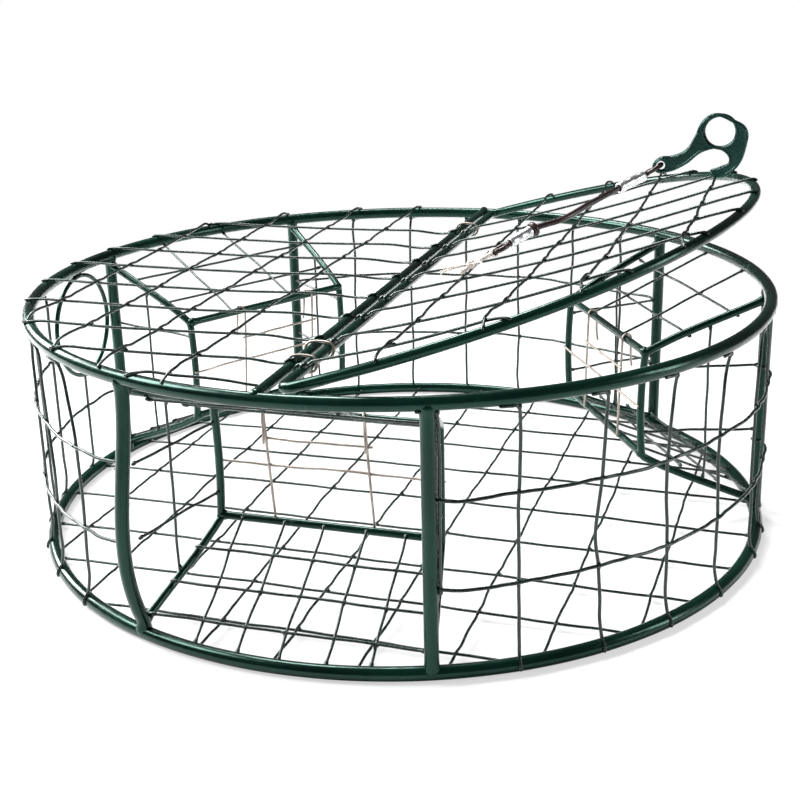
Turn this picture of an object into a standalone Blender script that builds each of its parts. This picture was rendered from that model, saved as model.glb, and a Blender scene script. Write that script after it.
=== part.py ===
"""Round crab trap: two coated steel rings on six posts, wire mesh panels, three tunnel
entrances with hanging gates, a round escape ring, a hinged D-shaped lid and its
rubber closure cord with a moulded hook. Lengths are in millimetres."""

import math

import bmesh
import bpy
from mathutils import Matrix, Vector

MM = 0.001

# Frame
RING_R = 374.5
RING_D = 13.0
RING_STEPS = 72
HEIGHT = 239.7
POST_D = 13.0
POST_ANGLES = {
    "post_front_left": -111.2,
    "post_front_right": -69.2,
    "post_right_front": 9.7,
    "post_right_back": 51.7,
    "post_back_right": 129,
    "post_left_back": 171,
}
POST_BOW = 14.0
GAP = 0.3
Z_BASE = RING_D / 2
Z_TOP = Z_BASE + HEIGHT

# Mesh wire
WIRE_D = 3.0
LAP = 2.2
# How far the long wires of the top and base nets run off square, in degrees
TOP_TURN = 2.0
BASE_TURN = -0.8
LOWER_LEVEL = 0.325
UPPER_LEVEL = 0.6583

# Entrances
ENTRANCES = {"front": -90.2, "right": 30.7, "left": 150}
POST_HALF_ANGLE = 21
ROD_D = 8.0
MOUTH_R = 230.0
MOUTH_HALF = 109.0
SILL_Z = Z_BASE + HEIGHT * 0.2628
HEAD_Z = Z_BASE + HEIGHT * 0.7372
SLOPE_END = 0.71 * (RING_D / 2 + GAP + WIRE_D / 2)
ROD_BEND = 8.0
GATE_WIRE_D = 2.0

# Lid
BAR_D = 9.5
BAR_SPACING = 14.0
CROSSBAR_X = -2.5
HINGE_X = CROSSBAR_X + BAR_SPACING
BAR_Z = Z_TOP + 3.5
LID_INSET = 18.0
LID_R = RING_R - LID_INSET
LID_REST = 16.5
LID_CORNER = 12.0
MESH_RISE = 6.6
LID_SAG = 5.0
TOP_SAG = 2.8
BASE_RISE = 3.0
# Places of the lid's wires, as shares of its radius
LID_LONG_WIRES = (0.6424, 0.4208, 0.1907, -0.0224, -0.2272, -0.4236, -0.6564, -0.8612)
LID_CROSS_WIRES = (0.2356, 0.4656, 0.6648, 0.8668)

# Escape ring
ESCAPE_INNER = 108.0
ESCAPE_ROD = 5.0
ESCAPE_R = (ESCAPE_INNER + ESCAPE_ROD) / 2
# The escape ring stands beside this post, just clear of it
ESCAPE_REACH = ESCAPE_R + (ESCAPE_ROD + POST_D) / 2
ESCAPE_ANGLE = POST_ANGLES["post_left_back"] + math.degrees(math.asin(ESCAPE_REACH / RING_R))
ESCAPE_Z = Z_TOP - RING_D / 2 - GAP - ESCAPE_R - ESCAPE_ROD / 2

# Closure
CORD_D = 6.0
LOOP_D = 5.0
FERRULE_D = 11.0
STOP_D = 15.0
HOOK_THICK = 8.0


def material(name, colour, rough, metal=0.0):
    mat = bpy.data.materials.new(name)
    mat.use_nodes = True
    mat.diffuse_color = (*colour, 1)
    shader = mat.node_tree.nodes["Principled BSDF"]
    shader.inputs["Base Color"].default_value = (*colour, 1)
    shader.inputs["Roughness"].default_value = rough
    shader.inputs["Metallic"].default_value = metal
    return mat


def rad(angle):
    return math.radians(angle)


def polar(radius, angle, z=0.0):
    return Vector((radius * math.cos(rad(angle)), radius * math.sin(rad(angle)), z))


def curve_of(name, paths, diameter, half_sides, closed=False):
    """A curve whose bevel is a round bar with 2 * half_sides sides along each path."""
    curve = bpy.data.curves.new(name, "CURVE")
    curve.dimensions = "3D"
    curve.fill_mode = "FULL"
    curve.bevel_depth = diameter / 2 * MM
    curve.bevel_resolution = half_sides - 2
    curve.use_fill_caps = True
    for path in paths:
        spline = curve.splines.new("POLY")
        spline.points.add(len(path) - 1)
        for point, place in zip(spline.points, path):
            point.co = (*(Vector(place) * MM), 1)
        spline.use_cyclic_u = closed
    return curve


def add(name, data, mat, where=None):
    """Puts the data in the scene as one node; where is its placed frame in millimetres."""
    obj = bpy.data.objects.new(name, data)
    bpy.context.collection.objects.link(obj)
    if mat is not None:
        data.materials.append(mat)
    if where is not None:
        frame = where.copy()
        frame.translation = where.translation * MM
        obj.matrix_world = frame
    return obj


def bar(name, path, diameter, mat, half_sides=4, closed=False, where=None):
    return add(name, curve_of(name, [path], diameter, half_sides, closed), mat, where)


def mesh_from(name, paths, diameter, half_sides, closed=False):
    """The closed mesh of a set of bars, with caps merged to sides."""
    guide = add(name + "_guide", curve_of(name, paths, diameter, half_sides, closed), None)
    graph = bpy.context.evaluated_depsgraph_get()
    mesh = bpy.data.meshes.new_from_object(guide.evaluated_get(graph))
    bpy.data.objects.remove(guide)
    work = bmesh.new()
    work.from_mesh(mesh)
    bmesh.ops.remove_doubles(work, verts=work.verts, dist=0.002 * MM)
    bmesh.ops.recalc_face_normals(work, faces=work.faces)
    work.to_mesh(mesh)
    work.free()
    mesh.name = name
    return mesh


def joined(name, first, others, mat, where=None):
    """One body: the first set of bars with each other set merged in by a Boolean."""
    body = add(name, first, mat, where)
    for index, mesh in enumerate(others):
        helper = add("%s_with_%d" % (name, index), mesh, mat, where)
        helper.hide_render = True
        helper.display_type = "WIRE"
        union = body.modifiers.new("Join %d" % index, "BOOLEAN")
        union.operation = "UNION"
        union.solver = "EXACT"
        union.object = helper
    return body


def net(name, along, across, mat, diameter=WIRE_D, where=None):
    """A welded net: wires along, and wires across that lap onto them."""
    first = mesh_from(name, along, diameter, 3)
    second = mesh_from(name + "_across", across, diameter, 3)
    return joined(name, first, [second], mat, where)


def ring(name, z, mat):
    """A ring of eight-sided bar that lies flat: the profile's flats touch the true tube."""
    work = bmesh.new()
    corner = RING_D / 2 / math.cos(math.pi / 8)
    verts = []
    for k in range(8):
        turn = math.pi / 8 + k * math.pi / 4
        place = (RING_R + corner * math.cos(turn), 0, z + corner * math.sin(turn))
        verts.append(work.verts.new(Vector(place) * MM))
    edges = [work.edges.new((verts[k], verts[(k + 1) % 8])) for k in range(8)]
    bmesh.ops.spin(
        work,
        geom=verts + edges,
        cent=(0, 0, 0),
        axis=(0, 0, 1),
        angle=2 * math.pi,
        steps=RING_STEPS,
        use_merge=True,
    )
    bmesh.ops.remove_doubles(work, verts=work.verts, dist=0.002 * MM)
    bmesh.ops.recalc_face_normals(work, faces=work.faces)
    mesh = bpy.data.meshes.new(name)
    work.to_mesh(mesh)
    work.free()
    return add(name, mesh, mat)


def post(name, angle, mat):
    low = Z_BASE + RING_D / 2 + GAP
    high = Z_TOP - RING_D / 2 - GAP
    if name != "post_front_left":
        return bar(name, [polar(RING_R, angle, low), polar(RING_R, angle, high)], POST_D, mat)
    path = [polar(RING_R, angle, low)]
    stub = 4
    peak = 0.35
    rise = 1.1
    fall = rise * (1 - peak) / peak
    most = peak**rise * (1 - peak) ** fall
    for step in range(11):
        t = step / 10
        out = POST_BOW * t**rise * (1 - t) ** fall / most
        path.append(polar(RING_R + out, angle, low + stub + t * (high - low - 2 * stub)))
    path.append(polar(RING_R, angle, high))
    return bar(name, path, POST_D, mat)


def rounded(path, radius, steps=3):
    """The path with each inner corner replaced by an arc of this radius."""
    done = [path[0]]
    for before, corner, after in zip(path, path[1:], path[2:]):
        a = (before - corner).normalized()
        b = (after - corner).normalized()
        half = a.angle(b) / 2
        reach = radius / math.tan(half)
        centre = corner + (a + b).normalized() * (radius / math.sin(half))
        start = (corner + a * reach - centre).normalized()
        end = (corner + b * reach - centre).normalized()
        for step in range(steps + 1):
            done.append(centre + start.slerp(end, step / steps) * radius)
    done.append(path[-1])
    return done


def panel_wire(knots, low, high, steps):
    """An upright wire of a side panel; knots are (share of the height between the rings, angle)."""
    path = []
    for step in range(steps + 1):
        z = low + (high - low) * step / steps
        level = (z - Z_BASE) / HEIGHT
        below = max((k for k in knots if k[0] <= level), default=knots[0])
        above = min((k for k in knots if k[0] >= level), default=knots[-1])
        span = above[0] - below[0]
        share = (level - below[0]) / span if span > 0 else 0
        path.append(polar(RING_R, below[1] + (above[1] - below[1]) * share, z))
    return path


def side_panel(name, start, end, uprights, mat, upper_start=None):
    """A net between two posts; the level wires run outside the uprights."""
    low = Z_BASE + RING_D / 2 + GAP
    high = Z_TOP - RING_D / 2 - GAP - 0.15
    outer = RING_R + LAP
    inset = math.degrees((POST_D / 2 + 2 * GAP) / RING_R)
    along = []
    for knots, bottom, top in uprights:
        along.append(panel_wire(knots, bottom or low, top or high, 6 if len(knots) > 2 else 1))
    across = []
    for level, first in ((HEIGHT * LOWER_LEVEL, None), (HEIGHT * UPPER_LEVEL, upper_start)):
        a = start + inset if first is None else first
        b = end - inset
        steps = round((b - a) / 7)
        across.append([polar(outer, a + (b - a) * k / steps, Z_BASE + level) for k in range(steps + 1)])
    return net(name, along, across, mat)


def plain(*angles):
    return [([(0, angle), (1, angle)], None, None) for angle in angles]


def half_chord(radius, across):
    return math.sqrt(radius**2 - across**2)


def top_height(x, y):
    """Height of the lower wires of the fixed half of the top, which sag a little."""
    reach = half_chord(RING_R, min(abs(y), RING_R - 1)) - 8
    t = min(max((-x - 8) / reach, 0), 1)
    start = BAR_Z - Z_TOP + 1
    rim = RING_D / 2 + GAP + WIRE_D / 2
    level = start + (rim - start) * min(1, t / 0.15)
    return Z_TOP + level - TOP_SAG * (4 * t * (1 - t)) ** 1.5 * math.sqrt(1 - (y / RING_R) ** 2)


def top_net(mat):
    along = []
    near = CROSSBAR_X - BAR_D / 2 - GAP
    slope = math.tan(rad(TOP_TURN))
    for share in (0.6048, 0.3965, 0.2016, 0.0072, -0.2003, -0.4005, -0.5981, -0.785):
        y = RING_R * share
        far = -half_chord(RING_R, abs(y - slope * half_chord(RING_R, abs(y))))
        xs = [near + (far - near) * t for t in (0, 0.15, 0.32, 0.5, 0.68, 0.85, 1)]
        along.append([(x, y + slope * x, top_height(x, y + slope * x)) for x in xs])
    short_y = RING_R * -0.948
    xs = [RING_R * t for t in (-0.032, -0.134, -0.219, -0.299)]
    along.append([(x, short_y, top_height(x, short_y) + 0.6) for x in xs])
    across = []
    for front, back in ((-0.7957, -0.8331), (-0.6061, -0.6409), (-0.4235, -0.4246), (-0.2323, -0.2296)):
        places = leaning(RING_R, 0, front, back, (0, 0.1, 0.25, 0.415, 0.585, 0.75, 0.9, 1))
        across.append([(x, y, top_height(x, y) + LAP) for x, y in places])
    return net("top_mesh", along, across, mat)


def leaning(radius, clear, front, back, shares):
    """Places along a wire whose two ends lie on the ring, at their own shares of its radius in x."""
    ends = []
    for share, side in ((front, -1), (back, 1)):
        x = RING_R * share
        ends.append((x, side * half_chord(radius, abs(x) + clear)))
    (x1, y1), (x2, y2) = ends
    return [(x1 + (x2 - x1) * t, y1 + (y2 - y1) * t) for t in shares]


def base_net(mat):
    def rise(x, y):
        return BASE_RISE * max(0, 1 - (x * x + y * y) / RING_R**2)

    inner = RING_R - RING_D / 2 - 2.5 * GAP
    slope = math.tan(rad(BASE_TURN))
    along = []
    for share in (0.8024, 0.6275, 0.4406, 0.235, 0.0027, -0.215, -0.4246, -0.624, -0.8278):
        y = RING_R * share
        line = []
        for t in (-1, -0.6, -0.2, 0.2, 0.6, 1):
            x = t * half_chord(inner, abs(y + t * slope * half_chord(inner, abs(y))) + WIRE_D / 2)
            line.append((x, y + slope * x, Z_BASE - 2 + rise(x, y)))
        along.append(line)
    across = []
    ends = ((-0.7957, -0.7984), (-0.5955, -0.6088), (-0.3952, -0.4326), (-0.2029, -0.2377))
    ends += ((-0.0107, -0.0134), (0.1883, 0.1923), (0.3845, 0.3925), (0.5794, 0.5928), (0.7744, 0.8037))
    for front, back in ends:
        places = leaning(inner, WIRE_D / 2, front, back, (0, 0.2, 0.4, 0.6, 0.8, 1))
        across.append([(x, y, Z_BASE + 0.2 + rise(x, y)) for x, y in places])
    return net("base_mesh", along, across, mat)


def entrance_frame(angle):
    """Local x points outwards, y along the mouth, z up."""
    return Matrix.Rotation(rad(angle), 4, "Z")


def inset_along(start, end, distance):
    return start + (end - start).normalized() * distance


def tunnel_rod(name, side, frame, mat):
    post_x = RING_R * math.cos(rad(POST_HALF_ANGLE))
    post_y = RING_R * math.sin(rad(POST_HALF_ANGLE)) * side
    low_corner = Vector((MOUTH_R, MOUTH_HALF * side, SILL_Z))
    high_corner = Vector((MOUTH_R, MOUTH_HALF * side, HEAD_Z))
    low_end = Vector((post_x, post_y, Z_BASE + 9))
    high_end = Vector((post_x, post_y, Z_TOP - 10))
    path = []
    for end, corner in ((low_end, low_corner), (high_end, high_corner)):
        run = corner - end
        flat = math.hypot(run.x, run.y)
        clear = POST_D / 2 + GAP + ROD_D / 2 * abs(run.z) / run.length
        path.append(end + run * (clear / flat))
    path = [path[0], low_corner, high_corner, path[1]]
    return bar(name, rounded(path, ROD_BEND), ROD_D, mat, where=frame)


def ramp_line(x):
    """Height of the ramp's long wires between the sill bar and the base ring."""
    start = MOUTH_R + ROD_D / 2 + GAP
    end = RING_R - SLOPE_END
    share = (x - start) / (end - start)
    return (SILL_Z + 3) * (1 - share) + (Z_BASE + SLOPE_END) * share


def roof_line(x):
    start = MOUTH_R + ROD_D / 2 + GAP
    end = RING_R - SLOPE_END
    share = (x - start) / (end - start)
    return HEAD_Z * (1 - share) + (Z_TOP - SLOPE_END) * share


def rail_y(x):
    post_x = RING_R * math.cos(rad(POST_HALF_ANGLE))
    post_y = RING_R * math.sin(rad(POST_HALF_ANGLE))
    return MOUTH_HALF + (post_y - MOUTH_HALF) * (x - MOUTH_R) / (post_x - MOUTH_R)


def rail_z(x, top):
    post_x = RING_R * math.cos(rad(POST_HALF_ANGLE))
    share = (x - MOUTH_R) / (post_x - MOUTH_R)
    if top:
        return HEAD_Z + (Z_TOP - 10 - HEAD_Z) * share
    return SILL_Z + (Z_BASE + 9 - SILL_Z) * share


def sloped_net(name, line, sides, lean, rows, lift, frame, mat):
    """Wires up the slope at shares of the mouth's half width, leaning sideways towards the ring
    by a length, and level wires at shares of the depth."""
    start = MOUTH_R + ROD_D / 2 + GAP
    along = []
    for place in sides:
        y = MOUTH_HALF * place
        end = half_chord(RING_R - SLOPE_END, abs(y + lean) + 1)
        along.append([(start, y, line(start)), (end, y + lean, line(RING_R - SLOPE_END))])
    across = []
    for row in rows:
        x = MOUTH_R + (RING_R - MOUTH_R) * row
        far = rail_y(x) - ROD_D / 2 - 2 * GAP - WIRE_D / 2
        if row > 0.75:
            far -= 4
        outermost = half_chord(RING_R - SLOPE_END, abs(MOUTH_HALF * sides[0]))
        stretch = (RING_R - SLOPE_END - start) / (outermost - start)
        z = line(start + (x - start) * (1 + (stretch - 1) / 2)) + lift
        across.append([(x, far * t, z) for t in (-1, 1)])
    return net(name, along, across, mat, where=frame)


def tunnel_side(name, side, frame, mat):
    post_x = RING_R * math.cos(rad(POST_HALF_ANGLE))
    middle = (MOUTH_R + post_x) / 2 + 4
    along = []
    for share in (0.6675, 0.3755):
        z = Z_BASE + HEIGHT * share
        start = MOUTH_R + ROD_D / 2 + GAP
        end = post_x - POST_D / 2 - 2 * GAP
        along.append([(x, side * rail_y(x), z) for x in (start, end)])
    off = rail_y(middle) + 1.6
    clear = ROD_D / 2 + GAP + WIRE_D / 2 + 0.5
    low = rail_z(middle, False) + clear
    high = rail_z(middle, True) - clear
    return net(name, along, [[(middle, side * off, low), (middle, side * off, high)]], mat, where=frame)


def gate(name, frame, mat):
    """Two wire legs hung on the head bar, with two level wires; the origin is on the bar's axis."""
    loop_r = ROD_D / 2 + GAP + GATE_WIRE_D / 2
    place = frame @ Matrix.Translation((MOUTH_R, 0, HEAD_Z))
    legs = []
    length = HEAD_Z - SILL_Z - 4
    tops = (MOUTH_HALF * -0.5633, MOUTH_HALF * 0.345)
    for y in tops:
        path = [(loop_r + 2, y + 4, -30), (loop_r, y + 3, -8)]
        for step in range(9):
            turn = rad(-10 + 25 * step)
            path.append((loop_r * math.cos(turn), y + 3 - step * 0.4, loop_r * math.sin(turn)))
        path.append((-loop_r, y, -10))
        path.append((-loop_r, y + 6, -length))
        legs.append(path)
    drop = HEAD_Z - SILL_Z
    upper_z = drop * -0.268
    lower_z = drop * -0.501
    half = MOUTH_HALF * 1.02
    lap = 1.4
    upper = [(-loop_r - lap, tops[0] - 3, upper_z), (-loop_r - lap, tops[1] + 5, upper_z)]
    lower = [(-loop_r - lap, -half, lower_z), (-loop_r - lap, half, lower_z)]
    first = mesh_from(name, legs, GATE_WIRE_D, 3)
    second = mesh_from(name + "_across", [upper, lower], GATE_WIRE_D, 3)
    return joined(name, first, [second], mat, where=place)


def lid_frame_path():
    steps = 40
    path = []
    inset = math.degrees(LID_CORNER / LID_R)
    for step in range(steps + 1):
        path.append(polar(LID_R, -90 + inset + (180 - 2 * inset) * step / steps))
    for side in (1, -1):
        corner = Vector((LID_CORNER, side * (LID_R - LID_CORNER), 0))
        turns = (110, 140, 165, 180) if side > 0 else (180, 195, 220, 250)
        for turn in turns:
            path.append(corner + polar(LID_CORNER, turn))
    return path


def lid_height(u, v):
    reach = half_chord(LID_R, min(abs(v), LID_R - 1))
    t = min(max(u / reach, 0), 1)
    return MESH_RISE - LID_SAG * (4 * t * (1 - t)) ** 1.5 * math.sqrt(1 - (v / LID_R) ** 2)


def lid_net(place, mat):
    along = []
    start = BAR_D / 2 + GAP + WIRE_D / 2
    for place_v in LID_LONG_WIRES:
        v = LID_R * place_v
        far = half_chord(LID_R, abs(v))
        path = [(start, v, 0), (start + 1.5, v, 2), (16, v, MESH_RISE)]
        for t in (0.2, 0.35, 0.5, 0.65, 0.82, 1):
            u = far * t
            if u > 20:
                path.append((u, v, lid_height(u, v)))
        along.append(path)
    across = []
    for place_u in LID_CROSS_WIRES:
        u = LID_R * place_u
        far = half_chord(LID_R, u)
        shares = (-1, -0.8, -0.5, -0.17, 0.17, 0.5, 0.8, 1)
        across.append([(u, far * t, lid_height(u, far * t) + LAP) for t in shares])
    return net("lid_mesh", along, across, mat, where=place)


def hog_ring(name, y, mat):
    reach = BAR_D / 2 + GAP + WIRE_D / 2
    path = []
    for centre, first in ((HINGE_X, -90), (CROSSBAR_X, 90)):
        for step in range(7):
            turn = rad(first + 30 * step)
            lean = 2.5 * math.sin(turn)
            path.append((centre + reach * math.cos(turn), y + lean, BAR_Z + reach * math.sin(turn)))
    return bar(name, path, WIRE_D, mat, half_sides=3, closed=True)


def escape_ring(mat):
    out = polar(1, ESCAPE_ANGLE)
    across = Vector((-out.y, out.x, 0))
    centre = polar(RING_R, ESCAPE_ANGLE, ESCAPE_Z)
    path = []
    for step in range(32):
        turn = 2 * math.pi * step / 32
        path.append(centre + (across * math.cos(turn) + Vector((0, 0, math.sin(turn)))) * ESCAPE_R)
    return bar("escape_ring", path, ESCAPE_ROD, mat, half_sides=4, closed=True)


def sleeve(name, start, end, bore, outer, mat, place):
    """A round sleeve from start to end, open along its axis."""
    axis = end - start
    turn = Vector((0, 0, 1)).rotation_difference(axis).to_matrix().to_4x4()
    work = bmesh.new()
    profile = [(bore, 0), (outer - 0.8, 0), (outer, 0.8)]
    profile += [(outer, axis.length - 0.8), (outer - 0.8, axis.length), (bore, axis.length)]
    verts = [work.verts.new(Vector((r, 0, z)) * MM) for r, z in profile]
    edges = [work.edges.new((verts[k], verts[(k + 1) % 6])) for k in range(6)]
    bmesh.ops.spin(
        work,
        geom=verts + edges,
        cent=(0, 0, 0),
        axis=(0, 0, 1),
        angle=2 * math.pi,
        steps=14,
        use_merge=True,
    )
    bmesh.ops.remove_doubles(work, verts=work.verts, dist=0.002 * MM)
    bmesh.ops.recalc_face_normals(work, faces=work.faces)
    mesh = bpy.data.meshes.new(name)
    work.to_mesh(mesh)
    work.free()
    return add(name, mesh, mat, place @ Matrix.Translation(start) @ turn)


def closed_loop(centre, long_way, long_half, short_way, short_half, steps=16):
    path = []
    for step in range(steps):
        turn = 2 * math.pi * step / steps
        path.append(
            centre + long_way * (long_half * math.cos(turn)) + short_way * (short_half * math.sin(turn))
        )
    return path


# The closure cord's stations in the lid's own frame: across the hinge, along it, above it
CORD_A = Vector((126.7, -41.6, 20.2))
CORD_B = Vector((144.6, -20.7, 23.5))
CORD_MID = (Vector((170, 0.5, 23.5)), Vector((195, 37.4, 26.5)))
CORD_C = Vector((219.4, 77.8, 28.8))
CORD_END = Vector((241.3, 108.7, 30.5))
HOOK_BOTTOM = Vector((311, 118, lid_height(311, 118) + LAP + WIRE_D / 2 - 0.6))
EYE = (-52.8, 4.2)
FINGER = (6.0, 39.8)


def hook_frame(place):
    """Upright frame of the hook: local x to the right, y up, z towards the camera side."""
    foot = place @ HOOK_BOTTOM
    origin = Vector((foot.x - 4, foot.y, foot.z + 7))
    return Matrix.Translation(origin) @ Matrix.Rotation(math.pi / 2, 4, "X")


def hook(place, mat):
    outline = (
        (-61, 4), (-54, 12), (-42, 14), (-29, 20), (-19, 36), (-12, 51), (1, 58), (19, 52),
        (32, 43), (33, 26), (22, 1), (4, -7), (-3, -2), (6, 3.5), (16, 10), (8, 21),
        (-8, 20), (-28, 5), (-46, -3), (-57, -3),
    )
    curve = bpy.data.curves.new("closure_hook", "CURVE")
    curve.dimensions = "2D"
    curve.fill_mode = "BOTH"
    curve.extrude = HOOK_THICK / 2 * MM
    curve.resolution_u = 3
    outer = curve.splines.new("BEZIER")
    outer.bezier_points.add(len(outline) - 1)
    for point, (x, y) in zip(outer.bezier_points, outline):
        point.co = Vector((x, y, 0)) * MM
        point.handle_left_type = "AUTO"
        point.handle_right_type = "AUTO"
    outer.use_cyclic_u = True
    for (x, y), radius, count in ((FINGER, 15.0, 20), (EYE, 4.8, 14)):
        hole = curve.splines.new("POLY")
        hole.points.add(count - 1)
        for k, point in enumerate(hole.points):
            turn = -2 * math.pi * k / count
            point.co = (
                (x + radius * math.cos(turn)) * MM,
                (y + radius * math.sin(turn)) * MM,
                0,
                1,
            )
        hole.use_cyclic_u = True
    guide = add("hook_guide", curve, None)
    graph = bpy.context.evaluated_depsgraph_get()
    mesh = bpy.data.meshes.new_from_object(guide.evaluated_get(graph))
    bpy.data.objects.remove(guide)
    work = bmesh.new()
    work.from_mesh(mesh)
    bmesh.ops.remove_doubles(work, verts=work.verts, dist=0.002 * MM)
    bmesh.ops.recalc_face_normals(work, faces=work.faces)
    work.to_mesh(mesh)
    work.free()
    return add("closure_hook", mesh, mat, hook_frame(place))


def closure(place, rubber, metal, green, cotton):
    flip = place.inverted()
    eye = flip @ (hook_frame(place) @ Vector((EYE[0], EYE[1], 0)))
    thick_way = flip.to_3x3() @ Vector((0, 1, 0))
    to_cord = CORD_END - eye
    to_cord = (to_cord - thick_way * to_cord.dot(thick_way)).normalized()
    long_half = 8.0
    back_centre = eye + to_cord * (long_half - 0.7)
    back = closed_loop(back_centre, to_cord, long_half, thick_way, 7.0)
    away = (CORD_A - CORD_B).normalized()
    side = Vector((0, 0, 1)).cross(away).normalized()
    front_half = 8.8
    front_centre = CORD_A + away * (front_half + 3)
    front = closed_loop(front_centre, away, front_half, side, 5.6)
    on = (CORD_END - CORD_C).normalized()
    cord = [CORD_A + away * 3.2, CORD_B - away * 8.5]
    cord += list(CORD_MID)
    cord += [CORD_C - on * 3, CORD_END + on * 2.5, back_centre + to_cord * long_half]
    straight = mesh_from("closure_cord", [cord], CORD_D, 4)
    loops = [
        mesh_from("cord_front_loop", [front], LOOP_D, 4, closed=True),
        mesh_from("cord_back_loop", [back], LOOP_D, 4, closed=True),
    ]
    joined("closure_cord", straight, loops, rubber, place)
    bore = (CORD_D / 2 + GAP) / math.cos(math.pi / 14)
    sleeve("ferrule_front", CORD_A, CORD_B, bore, FERRULE_D / 2, metal, place)
    sleeve("ferrule_back", CORD_C, CORD_END, bore, FERRULE_D / 2, metal, place)
    sleeve("cord_stop", CORD_B - away * 0.8, CORD_B - away * 5.8, bore, STOP_D / 2, rubber, place)
    hook(place, green)
    cotton_tie(place, front_centre, away, front_half, cotton)


def cotton_tie(place, loop_centre, away, loop_half, mat):
    """A band of cotton from the cord's loop to the lid's first cross wire, with a knot and two tails."""
    tip = loop_centre + away * (loop_half + LOOP_D / 2 + GAP + 2.4)
    wire_u = LID_R * LID_CROSS_WIRES[0]
    wire_v = LID_R * LID_LONG_WIRES[4]
    wire_top = lid_height(wire_u, wire_v) + LAP + WIRE_D / 2
    end = Vector((wire_u, wire_v + 1, wire_top + GAP + 2.6))
    middle = (tip + end) / 2 + Vector((0, 0, 1.5))
    band = mesh_from("cotton_tie", [[tip, middle, end]], 4.4, 4)
    knot = middle + Vector((-3, -6, 0))
    tails = [
        [knot, knot + Vector((-12, -7, 2)), knot + Vector((-26, -6, 3))],
        [knot, knot + Vector((14, -16, 3)), knot + Vector((25, -44, 1)), knot + Vector((38, -70, 3))],
    ]
    ball = bmesh.new()
    bmesh.ops.create_icosphere(ball, subdivisions=1, radius=5 * MM, matrix=Matrix.Translation(knot * MM))
    lump = bpy.data.meshes.new("cotton_knot")
    ball.to_mesh(lump)
    ball.free()
    joined("cotton_tie", band, [lump, mesh_from("cotton_tails", tails, 1.8, 3)], mat, place)


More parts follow.
